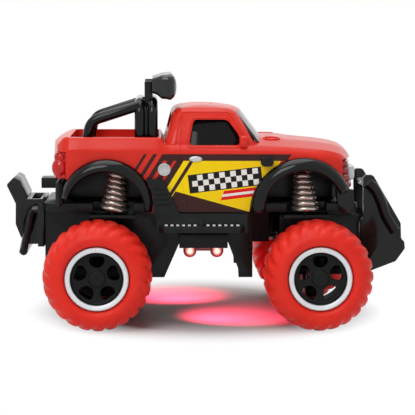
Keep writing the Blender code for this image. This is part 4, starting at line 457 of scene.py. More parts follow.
@dataclass(frozen=True)
class LiveryFinish(Finish):
    """Red paint whose sides carry a race livery of bars, a door field and a chequered strip.

    Lengths are in millimetres.

    Attributes:
        lean: How far the edges lean forward for each millimetre of height.
        lean_height: Height at which leaning edges are measured.
        band_reach: How far the band runs past the field at its rear and front.
        bar_share: Half the first bar's width, as a share of the pitch.
        scarlet_drop: Lower and upper edge of the scarlet bar, below the strip.
        scarlet_ends: Its start from the strip's middle, and how far it runs past the strip.
        pin_drop: Lower and upper edge of the white line in the bar.
    """

    side_reach: float = 26.0
    belt: float = 61.0
    lean: float = 0.62
    lean_height: float = 50.0
    field_edge: float = -9.0
    field_end: float = 20.5
    field_top: float = 57.2
    amber_span: Pair = (-10.0, 26.0)
    band_height: float = 2.3
    band_reach: Pair = (12.0, 2.2)
    foot_slope: float = 0.28
    foot_height: float = 43.6
    bar_count: int = 6
    bar_pitch: float = 3.3
    bar_share: float = 0.42
    bar_taper: float = 0.12
    bar_foot: float = 40.0
    bar_rise: float = 1.9
    gold_bars: int = 2
    strip_middle: Pair = (6.0, 50.6)
    strip_tilt: float = math.radians(7.0)
    strip_half: Pair = (12.6, 3.2)
    strip_rows: int = 3
    strip_border: float = 0.3
    square: float = 1.9
    scarlet_drop: Pair = (3.6, 0.5)
    scarlet_lean: float = -0.5
    scarlet_ends: Pair = (1.0, 1.4)
    pin_drop: Pair = (2.5, 1.6)
    yellow: Colour = linear(255, 222, 0)
    amber: Colour = linear(250, 200, 4)
    brown: Colour = linear(62, 30, 28)
    black: Colour = linear(24, 22, 22)
    white: Colour = linear(240, 236, 230)
    scarlet: Colour = linear(228, 20, 26)

    def tone(self, shader: Shader) -> Socket:
        """Lay the livery on the paint, from its lowest layer to its top one.

        Args:
            shader: The material.

        Returns:
            Colour of the body.
        """
        x, y, z = shader.place()
        side = shader.both(shader.above(shader.math("ABSOLUTE", y), self.side_reach),
                           shader.math("LESS_THAN", z, self.belt))
        slant = shader.line(x, z, -self.lean, self.lean * self.lean_height)
        below = shader.math("LESS_THAN", z, self.field_top)
        tone = Finish.tone(self, shader)
        gold = shader.mix(shader.ramp(x, *self.amber_span), self.yellow, self.amber)
        for number in range(self.bar_count):
            tone = self._bar(shader, tone, number, slant, z, side, gold)
        tone = shader.mix(shader.both(side, below, shader.within(slant, self.field_edge, self.field_end)),
                          tone, gold)
        behind, ahead = self.band_reach
        band = shader.both(side, shader.within(z, self.field_top, self.field_top + self.band_height),
                           shader.within(slant, self.field_edge - behind, self.field_end + ahead))
        tone = shader.mix(band, tone, self.brown)
        fall = shader.line(z, x, self.foot_slope, 0.0)
        foot = shader.both(side, shader.above(slant, self.field_edge),
                           shader.math("LESS_THAN", fall, self.foot_height))
        tone = shader.mix(foot, tone, self.brown)
        return self._strip(shader, tone, x, z, side)

    def _bar(self, shader: Shader, tone: Socket, number: int, slant: Socket, z: Socket,
             side: Socket, gold: Socket) -> Socket:
        """One leaning bar behind the door field, thinner and shorter the further back it lies.

        Args:
            shader: The material.
            tone: Colour so far.
            number: 0 for the bar next to the field.
            slant: Leaning coordinate.
            z: Height.
            side: Mask of the body's sides.
            gold: Colour of the field.

        Returns:
            Colour with the bar laid on.
        """
        middle = self.field_edge - (number + 0.5) * self.bar_pitch
        half = self.bar_share * self.bar_pitch * (1 - self.bar_taper * number)
        tall = shader.within(z, self.bar_foot + self.bar_rise * number, self.field_top + self.band_height)
        bar = shader.both(side, tall, shader.within(slant, middle - half, middle + half))
        if number < self.gold_bars:
            beside = shader.within(slant, middle, middle + self.bar_pitch)
            tone = shader.mix(shader.both(side, tall, beside), tone, gold)
        return shader.mix(bar, tone, self.brown)

    def _strip(self, shader: Shader, tone: Socket, x: Socket, z: Socket, side: Socket) -> Socket:
        """The chequered strip across the door, and the scarlet bar below it.

        Args:
            shader: The material.
            tone: Colour so far.
            x: Place along the car.
            z: Height.
            side: Mask of the body's sides.

        Returns:
            Colour with the strip and the bar laid on.
        """
        middle_x, middle_z = self.strip_middle
        cos, sin = math.cos(self.strip_tilt), math.sin(self.strip_tilt)
        across = shader.math("SUBTRACT", x, middle_x)
        up = shader.math("SUBTRACT", z, middle_z)
        u = shader.math("ADD", shader.math("MULTIPLY", across, cos), shader.math("MULTIPLY", up, sin))
        v = shader.math("SUBTRACT", shader.math("MULTIPLY", up, cos), shader.math("MULTIPLY", across, sin))
        half_u, half_v = self.strip_half
        frame_mask = shader.both(side, shader.within(u, -half_u, half_u), shader.within(v, -half_v, half_v))
        tone = shader.mix(frame_mask, tone, self.black)
        inner_v = self.strip_rows / 2 * self.square
        inner_u = self.square * math.floor((half_u - self.strip_border) / self.square)
        inside = shader.both(side, shader.within(u, -inner_u, inner_u), shader.within(v, -inner_v, inner_v))
        grid = shader.node("CombineXYZ", X=shader.math("ADD", u, inner_u), Y=shader.math("ADD", v, inner_v),
                           Z=0.5 * self.square)
        checks = shader.node("TexChecker", Vector=grid.outputs[0], Color1=self.white, Color2=self.black,
                             Scale=1 / self.square)
        tone = shader.mix(inside, tone, checks.outputs["Color"])
        start, past = self.scarlet_ends
        low = shader.within(v, *(-half_v - drop for drop in self.scarlet_drop))
        along = shader.line(u, v, self.scarlet_lean, 0.0)
        bar = shader.both(side, low, shader.within(along, start, half_u + past))
        tone = shader.mix(bar, tone, self.scarlet)
        pin = shader.both(bar, shader.within(v, *(-half_v - drop for drop in self.pin_drop)))
        return shader.mix(pin, tone, self.white)


class Finishes:
    """Every finish of the car, by the name of its use."""

    PAINT = LiveryFinish("body_paint", linear(222, 48, 35), linear(214, 43, 31), 0.22, 0.04, coat=0.05,
                         specular=0.14, grain=0.9, depth=0.0012 * MM)
    NOSE = Finish("nose_red", linear(150, 22, 20), linear(120, 14, 14), 0.24, 0.05, coat=0.6)
    TYRE = Finish("tyre_rubber", linear(230, 46, 32), linear(220, 38, 28), 0.44, 0.07, specular=0.2,
                  grain=0.5, depth=0.012 * MM)
    SATIN = Finish("black_satin", linear(24, 26, 27), linear(18, 20, 21), 0.31, 0.07, specular=0.18,
                   depth=0.008 * MM)
    BUMPER = Finish("bumper_black", linear(20, 22, 23), linear(15, 17, 18), 0.16, 0.05, specular=0.26,
                    depth=0.004 * MM)
    GLOSS = Finish("black_gloss", linear(10, 11, 12), linear(7, 8, 9), 0.12, 0.04, coat=0.2, specular=0.14,
                   grain=0.8, depth=0.002 * MM)
    # Partly painted sheen: a paler black than the bar's gloss, for the pods' highlights; coat and specular
    # give real ones
    HOUSING = Finish("lamp_housing", linear(24, 26, 27), linear(18, 20, 21), 0.16, 0.05, coat=0.35,
                     specular=0.25, grain=0.8, depth=0.002 * MM)
    GLAZING = Finish("dark_glazing", linear(13, 14, 15), linear(10, 11, 12), 0.08, 0.03, specular=0.14,
                     grain=1.2, depth=0.001 * MM)
    SCREEN = Finish("screen_glass", linear(20, 22, 23), linear(14, 16, 17), 0.07, 0.02,
                    grain=1.2, depth=0.001 * MM)
    CHROME = Finish("spring_chrome", (0.5, 0.45, 0.42), (0.38, 0.33, 0.3), 0.26, 0.05, metallic=0.85,
                    grain=0.5, depth=0.003 * MM)
    RIM = Finish("rim_black", linear(24, 25, 26), linear(18, 19, 20), 0.38, 0.07, specular=0.12)
    # Painted highlight: white for the dashes that stand for glints on the tread ribs
    DASH = Finish("tread_painted_highlight", linear(226, 226, 224), linear(208, 208, 206), 0.5, 0.08)
    RING = Finish("silver_ring", linear(228, 232, 235), linear(218, 223, 227), 0.32, 0.05, metallic=0.15,
                  grain=0.6, depth=0.002 * MM)
    SILVER = Finish("silver_paint", linear(206, 206, 208), linear(188, 188, 190), 0.34, 0.06, metallic=0.4)
    STEEL = Finish("steel", (0.52, 0.53, 0.55), (0.42, 0.43, 0.45), 0.3, 0.1, metallic=1.0)
    NYLON = Finish("nylon", linear(232, 228, 214), linear(222, 216, 200), 0.45, 0.06)
    CONTACT = Finish("contact_metal", (0.72, 0.66, 0.52), (0.62, 0.56, 0.44), 0.28, 0.08, metallic=1.0)
    BOARD = BoardFinish("board_green", linear(24, 92, 44), linear(18, 78, 36), 0.4, 0.08)
    CELL = StripedFinish("cell_jacket", linear(44, 46, 50), linear(36, 38, 42), 0.3, 0.05, coat=0.3,
                         band=linear(208, 150, 60), start=6.0, end=18.0)
    LAMP_CLEAR = LensFinish("lamp_clear", linear(232, 238, 242), linear(220, 226, 230), 0.08, 0.03,
                            coat=0.5, clear=0.35)
    LAMP_RED = LensFinish("lamp_lens_red", linear(206, 26, 20), linear(186, 18, 14), 0.12, 0.03,
                          specular=0.4, clear=0.06)
    GLOW = GlowFinish("underglow_red", linear(120, 10, 10), linear(92, 6, 6), 0.12, 0.03)


@dataclass(frozen=True)
class Dressing:
    """What a carried-over solid wears.

    Attributes:
        finish: Its surface.
        slot: The record's material slot; not used.
        rounding: Radius of its edges, 0 for none.
        smooth: Angle in degrees below which its faces shade as one surface.
    """

    finish: Finish
    slot: str
    rounding: float = 0.0
    smooth: float = 35.0


class Wardrobe:
    """Dresses the carried-over solids.

    Attributes:
        WELD: Distance below which points are merged.
        FLAT: Angle below which faces are merged.
        EDGE: Angle above which an edge is rounded.
        EDGE_STEPS: Steps of a rounded edge.
    """

    WELD = 0.002 * MM
    FLAT = math.radians(0.4)
    EDGE = math.radians(40.0)
    EDGE_STEPS = 2

    def __init__(self) -> None:
        """Lay out what each node wears."""
        satin = Dressing(Finishes.SATIN, "black_plastic", 0.22 * MM)
        gloss = Dressing(Finishes.GLOSS, "black_gloss", 0.3 * MM)
        nylon = Dressing(Finishes.NYLON, "nylon")
        steel = Dressing(Finishes.STEEL, "steel")
        bare = Dressing(Finishes.CONTACT, "contact_metal")
        cell = Dressing(Finishes.CELL, "cell_jacket", 0.3 * MM)
        self.rules: tuple[tuple[str, Dressing], ...] = (
            ("body_shell", Dressing(Finishes.PAINT, "body_red", 0.5 * MM)),
            ("window_insert", Dressing(Finishes.GLAZING, "dark_glazing", 0.2 * MM)),
            ("front_grille", Dressing(Finishes.NOSE, "nose_red", 0.25 * MM)),
            ("headlamp", Dressing(Finishes.LAMP_CLEAR, "lamp_clear", 0.4 * MM)),
            ("tail_lamp", Dressing(Finishes.LAMP_RED, "lamp_red", 0.7 * MM)),
            ("underglow_lamp", Dressing(Finishes.GLOW, "lamp_red", 0.1 * MM)),
            ("fender_flare", gloss), ("roll_bar", gloss), ("light_bar", gloss), ("fender_vent", gloss),
            ("front_bumper", Dressing(Finishes.BUMPER, "black_plastic", 0.6 * MM)),
            ("rear_bumper", Dressing(Finishes.BUMPER, "black_plastic", 0.6 * MM)),
            ("trim_ring", Dressing(Finishes.RING, "chrome", 0.12 * MM)),
            ("rim", Dressing(Finishes.SATIN, "black_plastic", 0.18 * MM)),
            ("idler_gear", nylon), ("axle_gear", nylon), ("motor_pinion", nylon),
            ("steering_pinion", nylon), ("steering_knuckle", satin), ("tie_rod", satin),
            ("rear_axle", steel), ("drive_motor", steel), ("steering_motor", steel),
            ("battery_cover_screw", steel), ("battery_contact", bare), ("battery_cell", cell),
            ("circuit_board", Dressing(Finishes.BOARD, "board_green")),
            ("", satin),
        )
        self.shading = self._shading_group()

    @staticmethod
    def _shading_group() -> bpy.types.NodeTree:
        """Make geometry nodes that shade smooth below an angle and drop stored normals.

        Returns:
            The node group.
        """
        group = bpy.data.node_groups.new("smooth_by_angle", "GeometryNodeTree")
        group.interface.new_socket("Geometry", in_out="INPUT", socket_type="NodeSocketGeometry")
        group.interface.new_socket("Angle", in_out="INPUT", socket_type="NodeSocketFloat")
        group.interface.new_socket("Geometry", in_out="OUTPUT", socket_type="NodeSocketGeometry")
        source = group.nodes.new("NodeGroupInput")
        target = group.nodes.new("NodeGroupOutput")
        angle = group.nodes.new("GeometryNodeInputMeshEdgeAngle")
        sharp = group.nodes.new("FunctionNodeCompare")
        normals = group.nodes.new("GeometryNodeSetMeshNormal")
        normals.mode = "SHARPNESS"
        link = group.links.new
        link(angle.outputs["Unsigned Angle"], sharp.inputs[0])
        link(source.outputs["Angle"], sharp.inputs[1])
        link(source.outputs["Geometry"], normals.inputs["Mesh"])
        link(sharp.outputs[0], normals.inputs["Edge Sharpness"])
        link(normals.outputs["Mesh"], target.inputs["Geometry"])
        return group

    def rule(self, node: str) -> Dressing:
        """What a node wears."""
        return next(dressing for start, dressing in self.rules if node.startswith(start))

    def round_off(self, piece: bpy.types.Object, rounding: float, smooth: float) -> None:
        """Weld, round and smooth a mesh with modifiers.

        Args:
            piece: The mesh object.
            rounding: Radius of its edges, 0 for none.
            smooth: Angle in degrees below which faces shade as one surface.
        """
        weld = piece.modifiers.new("weld", "WELD")
        weld.merge_threshold = self.WELD
        if rounding:
            flat = piece.modifiers.new("flat_faces", "DECIMATE")
            flat.decimate_type = "DISSOLVE"
            flat.angle_limit = self.FLAT
            bevel = piece.modifiers.new("rounding", "BEVEL")
            bevel.width = rounding
            bevel.segments = self.EDGE_STEPS
            bevel.limit_method = "ANGLE"
            bevel.angle_limit = self.EDGE
            bevel.use_clamp_overlap = True
        shade = piece.modifiers.new("shading", "NODES")
        shade.node_group = self.shading
        shade["Socket_1"] = math.radians(smooth)

    def dress(self) -> None:
        """Give every node its finish and rounding."""
        for name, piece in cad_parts.items():
            dressing = self.rule(name)
            piece.data.materials.clear()
            piece.data.materials.append(dressing.finish.material())
            self.round_off(piece, dressing.rounding, dressing.smooth)
            LOG.info("dressed %s in %s", name, dressing.finish.name)


class Workshop:
    """Makes meshes and hands them to their bodies.

    Attributes:
        PEBBLE_ROWS: Rows of a rounded lump.
        PEBBLE_SIDES: Its sides.
        POLE: Share of a half turn that its rows cover.
    """

    PEBBLE_ROWS = 24
    PEBBLE_SIDES = 40
    POLE = 0.998

    def __init__(self, wardrobe: Wardrobe) -> None:
        """Keep the wardrobe whose shading the new pieces share.

        Args:
            wardrobe: Source of the smooth shading.
        """
        self.wardrobe = wardrobe

    @staticmethod
    def mesh(name: str, points: Sequence[Vector], faces: Sequence[Sequence[int]]) -> Mesh:
        """A mesh of points and faces, with its normals outward.

        Args:
            name: Name of the mesh.
            points: Its points.
            faces: Its faces as numbers of points.

        Returns:
            The mesh.
        """
        made = bpy.data.meshes.new(name)
        made.from_pydata([tuple(point) for point in points], [], [tuple(face) for face in faces])
        bm = bmesh.new()
        bm.from_mesh(made)
        bmesh.ops.recalc_face_normals(bm, faces=bm.faces)
        bm.to_mesh(made)
        bm.free()
        return made

    def skin(self, name: str, rings: Sequence[Sequence[Vector]], closed: bool = False) -> Mesh:
        """A mesh over closed rings of equally many points.

        Args:
            name: Name of the mesh.
            rings: The rings in order.
            closed: Whether the last ring joins the first. If not, the ends are capped.

        Returns:
            The mesh.
        """
        count = len(rings[0])
        points = [point for ring in rings for point in ring]
        faces: list[list[int]] = []
        for i in range(len(rings) if closed else len(rings) - 1):
            here, there = i * count, (i + 1) % len(rings) * count
            for k in range(count):
                after = (k + 1) % count
                faces.append([here + k, here + after, there + after, there + k])
        if not closed:
            faces.append(list(range(count)))
            faces.append([len(points) - count + k for k in range(count)])
        return self.mesh(name, points, faces)

    def turned(self, name: str, profile: Sequence[Pair], steps: int) -> Mesh:
        """A closed profile turned about the Y axis.

        Args:
            name: Name of the mesh.
            profile: Radius and Y of its points.
            steps: Steps of a full turn.

        Returns:
            The mesh.
        """
        rings = [[Vector((radius * math.cos(turn), y, radius * math.sin(turn))) for radius, y in profile]
                 for turn in turns(steps)]
        return self.skin(name, rings, True)

    def swept(self, name: str, path: Sequence[Vector], radius: float, sides: int,
              closed: bool = False) -> Mesh:
        """A round wire along a path.

        Args:
            name: Name of the mesh.
            path: Points of its middle line.
            radius: Radius of the wire.
            sides: Sides of its section.
            closed: Whether the path ends where it starts.

        Returns:
            The wire's mesh.
        """
        rings = []
        across = None
        for i, point in enumerate(path):
            before = path[i - 1] if i or closed else point
            after = path[(i + 1) % len(path)] if closed or i + 1 < len(path) else point
            way = (after - before).normalized()
            if across is None:
                across = way.orthogonal()
            across = (across - way * across.dot(way)).normalized()
            up = way.cross(across)
            rings.append([point + (across * math.cos(turn) + up * math.sin(turn)) * radius
                          for turn in turns(sides)])
        return self.skin(name, rings, closed)

    @staticmethod
    def joined(name: str, meshes: Sequence[Mesh]) -> Mesh:
        """Several meshes as one.

        Args:
            name: Name of the new mesh.
            meshes: The meshes.

        Returns:
            The new mesh.
        """
        bm = bmesh.new()
        for mesh in meshes:
            bm.from_mesh(mesh)
        made = bpy.data.meshes.new(name)
        bm.to_mesh(made)
        bm.free()
        return made

    @staticmethod
    def carved(name: str, base: Mesh, added: Sequence[Mesh],
               removed: Sequence[Mesh]) -> Mesh:
        """A mesh with others united with it, and then others cut out of it.

        Args:
            name: Name of the new mesh.
            base: The mesh to start from.
            added: Meshes to unite with it.
            removed: Meshes to cut out.

        Returns:
            The carved mesh.
        """
        blanks = [bpy.data.objects.new(name, mesh) for mesh in (base, *added, *removed)]
        for blank in blanks:
            bpy.context.scene.collection.objects.link(blank)
        target, *tools = blanks
        for number, tool in enumerate(tools):
            step = target.modifiers.new("carve", "BOOLEAN")
            step.operation = "UNION" if number < len(added) else "DIFFERENCE"
            step.solver = "EXACT"
            step.object = tool
        graph = bpy.context.evaluated_depsgraph_get()
        mesh = bpy.data.meshes.new_from_object(target.evaluated_get(graph))
        for blank in blanks:
            bpy.data.objects.remove(blank)
        mesh.name = name
        return mesh

    def pebble(self, name: str, middle: Sequence[float], radii: Sequence[float],
               power: float) -> Mesh:
        """A rounded lump between a ball and a box.

        Args:
            name: Name of the mesh.
            middle: Its middle.
            radii: Half its length, width and height.
            power: 1 for a ball, towards 0 for a box.

        Returns:
            The mesh.
        """
        def bulge(value: float) -> float:
            """A sine or cosine pressed towards its ends."""
            return math.copysign(abs(value) ** power, value)
        rings = []
        for row in range(self.PEBBLE_ROWS + 1):
            tilt = math.pi * (row / self.PEBBLE_ROWS - 0.5) * self.POLE
            rings.append([Vector((middle[0] + radii[0] * bulge(math.cos(tilt)) * bulge(math.cos(turn)),
                                  middle[1] + radii[1] * bulge(math.cos(tilt)) * bulge(math.sin(turn)),
                                  middle[2] + radii[2] * bulge(math.sin(tilt))))
                          for turn in turns(self.PEBBLE_SIDES)])
        return self.skin(name, rings)

    def block(self, name: str, low: Sequence[float], high: Sequence[float]) -> Mesh:
        """A box between two corners.

        Args:
            name: Name of the mesh.
            low: Its lowest corner.
            high: Its highest corner.

        Returns:
            The mesh.
        """
        corners = ((low[0], low[1]), (high[0], low[1]), (high[0], high[1]), (low[0], high[1]))
        rings = [[Vector((x, y, z)) for x, y in corners] for z in (low[2], high[2])]
        return self.skin(name, rings)

    def piece(self, name: str, mesh: Mesh, dressing: Dressing, matrix: Matrix = Matrix.Identity(4),
              stands_for: str = "", body: str = "chassis") -> None:
        """A piece that rides on a body.

        Args:
            name: Its name.
            mesh: Its mesh.
            dressing: Its finish, slot, rounding and shading.
            matrix: Its place.
            stands_for: The node that it replaces, if any.
            body: The body that carries it.
        """
        made = bpy.data.objects.new(name, mesh)
        bpy.context.scene.collection.objects.link(made)
        made.matrix_world = matrix
        if not mesh.materials:
            mesh.materials.append(dressing.finish.material())
        self.wardrobe.round_off(made, dressing.rounding, dressing.smooth)
        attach(made, body)
        if stands_for:
            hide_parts(stands_for)
        LOG.info("built %s on %s", name, body)


def smooth_line(points: Sequence[tuple[float, ...]], steps: int) -> list[tuple[float, ...]]:
    """Points on a smooth curve through the given ones.

    Args:
        points: Points that the curve passes through.
        steps: Steps between each two of them.

    Returns:
        The curve's points, ends included.
    """
    curve = []
    last = len(points) - 1
    for i in range(last):
        a, b, c, d = (Vector(points[max(0, min(last, i + k))]) for k in (-1, 0, 1, 2))
        for step in range(steps):
            t = step / steps
            curve.append(tuple(0.5 * (2 * b + (c - a) * t + (2 * a - 5 * b + 4 * c - d) * t * t
                                      + (3 * b - a - 3 * c + d) * t ** 3)))
    curve.append(tuple(points[-1]))
    return curve


def rounded(corners: Sequence[Pair], reach: float, steps: int) -> list[Pair]:
    """Closed outline whose corners are rounded off.

    Args:
        corners: Its corners.
        reach: Length of each side that a corner takes up, less on a short side.
        steps: Steps of each corner.

    Returns:
        The outline's points.
    """
    outline = []
    for i, corner in enumerate(corners):
        here = Vector(corner)
        back = Vector(corners[i - 1]) - here
        on = Vector(corners[(i + 1) % len(corners)]) - here
        back *= min(reach / back.length, CORNER_SHARE)
        on *= min(reach / on.length, CORNER_SHARE)
        for step in range(steps + 1):
            t = step / steps
            outline.append(tuple(here + back * (1 - t) ** 2 + on * t * t))
    return outline


def bent(points: Sequence[Sequence[float]], radii: float | Sequence[float], steps: int = 8) -> list[Vector]:
    """A path through points with its inner corners turned into arcs.

    Args:
        points: Corners of the path and its ends.
        radii: Radius of the arcs, one for all or one for each.
        steps: Steps of each arc.

    Returns:
        The path's points.
    """
    corners = [Vector(point) for point in points]
    path = [corners[0]]
    for i, (a, b, c) in enumerate(zip(corners, corners[1:], corners[2:])):
        radius = radii if isinstance(radii, float) else radii[i]
        back, ahead = (a - b).normalized(), (c - b).normalized()
        reach = min(radius / math.tan(back.angle(ahead) / 2),
                    BEND_SHARE * (a - b).length, BEND_SHARE * (c - b).length)
        for step in range(steps + 1):
            t = step / steps
            path.append(b + back * reach * (1 - t) ** 2 + ahead * reach * t * t)
    path.append(corners[-1])
    return path


@dataclass
class Wheels:
    """Tyres with wave-like lugs, spoked rims and bright rings.

    Attributes:
        shop: Maker of the pieces.
        seat: Radius of the rim under the tyre.
        lug_count: Lugs round a tyre.
        lug_sweep: Angle by which a lug trails at the tyre's shoulder.
        lug_curl: How late the trailing sets in, 1 for evenly.
        lug_press: How steep the sides of a lug are.
        lug_shift: How much wider a lug is than the gap beside it.
        lug_fade: Distance below the tread where the lugs end, and length of their fading.
        valley: Depth of the groove in the tread's middle, as a share, and its half width.
        ring_inner: Inner radius of the bright ring.
        dish: Thickness of the spokes.
        spokes: Spokes of the rim.
    """

    shop: Workshop
    seat: float = 10.7 * MM
    bead_gap: float = 0.25 * MM
    lug_count: int = 24
    lug_height: float = 0.75 * MM
    lug_sweep: float = math.radians(13.0)
    lug_curl: float = 1.6
    lug_press: float = 2.6
    lug_shift: float = 0.25
    lug_fade: Pair = (3.4 * MM, 3.0 * MM)
    valley: Pair = (0.35, 1.1 * MM)
    steps_per_lug: int = 12
    ring_inner: float = 8.95 * MM
    ring_gap: float = 0.3 * MM
    ring_height: float = 0.9 * MM
    face_y: float = 9.3 * MM
    flange_y: float = 10.3 * MM
    dish: float = 1.8 * MM
    barrel_wall: float = 1.2 * MM
    barrel_end: float = -10.4 * MM
    hub_radius: float = 2.9 * MM
    boss_length: float = 15.9 * MM
    bore: float = 1.3 * MM
    spokes: int = 5
    window_inner: float = 3.9 * MM
    window_outer: float = 7.9 * MM
    window_angle: float = math.radians(52.0)
    window_corner: float = 0.8 * MM
    turn_steps: int = 80
    ring_steps: int = 96

    def tyre(self, radius: float, half: float) -> Mesh:
        """A tyre about the Y axis with its outer side at +Y.

        Args:
            radius: Radius over the lugs.
            half: Half its width.

        Returns:
            The mesh.
        """
        seat = self.seat + self.bead_gap
        crown = radius - self.lug_height
        side = ((seat, half - 1.5 * MM), (seat + 0.9 * MM, half - 0.35 * MM), (seat + 2.6 * MM, half),
                (crown - 2.5 * MM, half - 1.0 * MM), (crown - 0.9 * MM, half - 3.2 * MM),
                (crown - 0.15 * MM, half - 6.6 * MM))
        section = list(side) + [(crown, 0.0)] + [(r, -y) for r, y in reversed(side)]
        curve = smooth_line(section, 5)
        rings = []
        for angle in turns(self.lug_count * self.steps_per_lug):
            ring = []
            for r, y in curve:
                reach = self._reach(r, y, crown, half, angle)
                ring.append(Vector((reach * math.cos(angle), y, reach * math.sin(angle))))
            rings.append(ring + [Vector((seat * math.cos(angle), 0.0, seat * math.sin(angle)))])
        return self.shop.skin("tyre_tread", rings, True)

    def _reach(self, r: float, y: float, crown: float, half: float, angle: float) -> float:
        """Radius of the tyre's skin at a point of its section, lugs included.

        Args:
            r: Radius of the section there.
            y: Place across the tyre.
            crown: Radius between the lugs.
            half: Half the tyre's width.
            angle: Place round the tyre.

        Returns:
            The radius.
        """
        start, length = self.lug_fade
        fade = max(0.0, min(1.0, (r - crown + start) / length))
        share = min(1.0, abs(y) / half)
        sweep = self.lug_sweep * share ** self.lug_curl
        wave = math.sin(self.lug_count * (angle + sweep))
        full = math.tanh(self.lug_press * (1 + self.lug_shift))
        lug = 0.5 + 0.5 * math.tanh(self.lug_press * (wave + self.lug_shift)) / full
        depth, reach = self.valley
        valley = 1.0 - depth * math.exp(-(y / reach) ** 2)
        return r + self.lug_height * fade * max(0.0, lug) * valley

    def rim(self) -> Mesh:
        """A dished rim about the Y axis with windows between its spokes.

        Returns:
            The mesh.
        """
        face, flange, hub = self.face_y, self.flange_y, self.hub_radius
        back = face - self.dish
        barrel = self.seat - self.barrel_wall
        foot = face - self.boss_length
        profile = ((0.05 * MM, face + 1.1 * MM), (hub - 0.9 * MM, face + 1.1 * MM),
                   (hub - 0.7 * MM, face + 0.95 * MM), (hub - 0.35 * MM, face + 0.95 * MM),
                   (hub, face + 0.6 * MM), (hub, face - 0.15 * MM),
                   (hub + 0.5 * MM, face - 0.25 * MM), (self.window_outer, face - 0.05 * MM),
                   (self.window_outer + 0.5 * MM, face + 0.1 * MM), (self.ring_inner, flange),
                   (self.seat, flange), (self.seat, self.barrel_end), (barrel, self.barrel_end),
                   (barrel, back), (hub, back), (hub, foot), (self.bore, foot), (self.bore, back),
                   (0.05 * MM, back))
        windows = [self._window(math.pi / 2 + math.tau * i / self.spokes, back - 1 * MM, face + 1 * MM)
                   for i in range(self.spokes)]
        blank = self.shop.turned("rim_blank", profile, self.turn_steps)
        return self.shop.carved("rim_skin", blank, (), windows)

    def _window(self, middle: float, low: float, high: float) -> Mesh:
        """Cutter of one window between two spokes, with rounded corners.

        Args:
            middle: Angle of its middle.
            low: Its inner face.
            high: Its outer face.

        Returns:
            The mesh.
        """
        half = self.window_angle / 2
        inner, outer = self.window_inner, self.window_outer
        shoulder = outer - 1.6 * MM
        corners = ((inner, -0.72), (inner, 0.72), (shoulder, 1.0),
                   (outer, 0.66), (outer, -0.66), (shoulder, -1.0))
        flat = [(r * math.cos(middle + a * half), r * math.sin(middle + a * half)) for r, a in corners]
        outline = rounded(flat, self.window_corner, 3)
        rings = [[Vector((x, y, z)) for x, z in outline] for y in (low, high)]
        return self.shop.skin("window_cutter", rings)

    def ring(self) -> Mesh:
        """The bright ring in front of the rim's flange.

        Returns:
            The mesh.
        """
        low = self.flange_y + self.ring_gap
        high = low + self.ring_height
        inner, outer = self.ring_inner, self.seat
        profile = ((inner, low), (outer, low), (outer, high - 0.45 * MM),
                   (outer - 0.12 * MM, high - 0.2 * MM), (outer - 0.4 * MM, high),
                   (inner + 0.45 * MM, high - 0.12 * MM), (inner + 0.12 * MM, high - 0.3 * MM))
        return self.shop.turned("bright_ring", profile, self.ring_steps)

    def build(self) -> None:
        """Build the four wheels where the solids have them."""
        low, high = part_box("tyre_front_left")
        tyre = self.tyre((high.z - low.z) / 2, (high.y - low.y) / 2)
        rim, ring = self.rim(), self.ring()
        rubber = Dressing(Finishes.TYRE, "tyre_red", 0.0, 60.0)
        black = Dressing(Finishes.RIM, "black_plastic", 0.12 * MM, 30.0)
        bright = Dressing(Finishes.RING, "chrome", 0.0, 40.0)
        for end in End:
            for side in Side:
                place = f"{end.word}_{side.word}"
                low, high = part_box(f"tyre_{place}")
                turn = Matrix.Rotation(0.0 if side is Side.LEFT else math.pi, 4, "Z")
                matrix = Matrix.Translation((low + high) / 2) @ turn
                body = "rear_axle_set" if end is End.REAR else f"front_wheel_{side.word}"
                for kind, mesh, dressing in (("tyre", tyre, rubber), ("rim", rim, black),
                                             ("trim_ring", ring, bright)):
                    self.shop.piece(f"{kind}_{place}_skin", mesh, dressing, matrix, f"{kind}_{place}", body)


@dataclass
class Springs:
    """Chrome coils, wider at the foot.

    Attributes:
        shop: Maker of the pieces.
        turns: Curls of a coil.
        pitch: Rise of one curl.
        foot_radius: Radius of the coil's middle line at the foot.
        top_radius: The same at the top.
        wire: Diameter of the wire.
        taper: How fast the coil narrows above its foot, 1 for evenly.
        lean: Lean of the coil towards the middle of the car.
        foot_height: Height of its seat.
        lift: Gap over the seat.
        reach: Distance of the coils from the car's middle.
    """

    shop: Workshop
    turns: float = 7.0
    pitch: float = 1.92 * MM
    foot_radius: float = 4.0 * MM
    top_radius: float = 2.3 * MM
    wire: float = 1.86 * MM
    taper: float = 1.3
    lean: float = math.radians(6.0)
    foot_height: float = 38.0 * MM
    lift: float = 0.3 * MM
    reach: float = 20.2 * MM
    front_x: float = 34.4 * MM
    rear_x: float = -32.6 * MM
    steps: int = 32
    sides: int = 14

    def path(self, end: End, side: Side) -> list[Vector]:
        """Middle line of one coil.

        Args:
            end: The car's end.
            side: The car's side.

        Returns:
            The line's points.
        """
        x = self.front_x if end is End.FRONT else self.rear_x
        lean = -end.value * self.lean
        way = Vector((math.sin(lean), 0, math.cos(lean)))
        across = Vector((way.z, 0, -way.x))
        foot = Vector((x, side.value * self.reach, self.foot_height))
        lift = self.wire / 2 + self.foot_radius * math.sin(self.lean) + self.lift
        count = round(self.turns * self.steps)
        line = []
        for i in range(count + 1):
            angle = math.tau * i / self.steps
            radius = self.top_radius + (self.foot_radius - self.top_radius) * (1 - i / count) ** self.taper
            turn = across * math.cos(angle) + Vector((0, side.value, 0)) * math.sin(angle)
            line.append(foot + way * (lift + self.pitch * i / self.steps) + turn * radius)
        return line

    def build(self) -> None:
        """Wind the four coils."""
        dressing = Dressing(Finishes.CHROME, "chrome", 0.0, 80.0)
        for end in End:
            for side in Side:
                name = f"shock_spring_{end.word}_{side.word}"
                coil = self.shop.swept(name + "_coil", self.path(end, side), self.wire / 2, self.sides)
                self.shop.piece(name + "_coil", coil, dressing, stands_for=name)


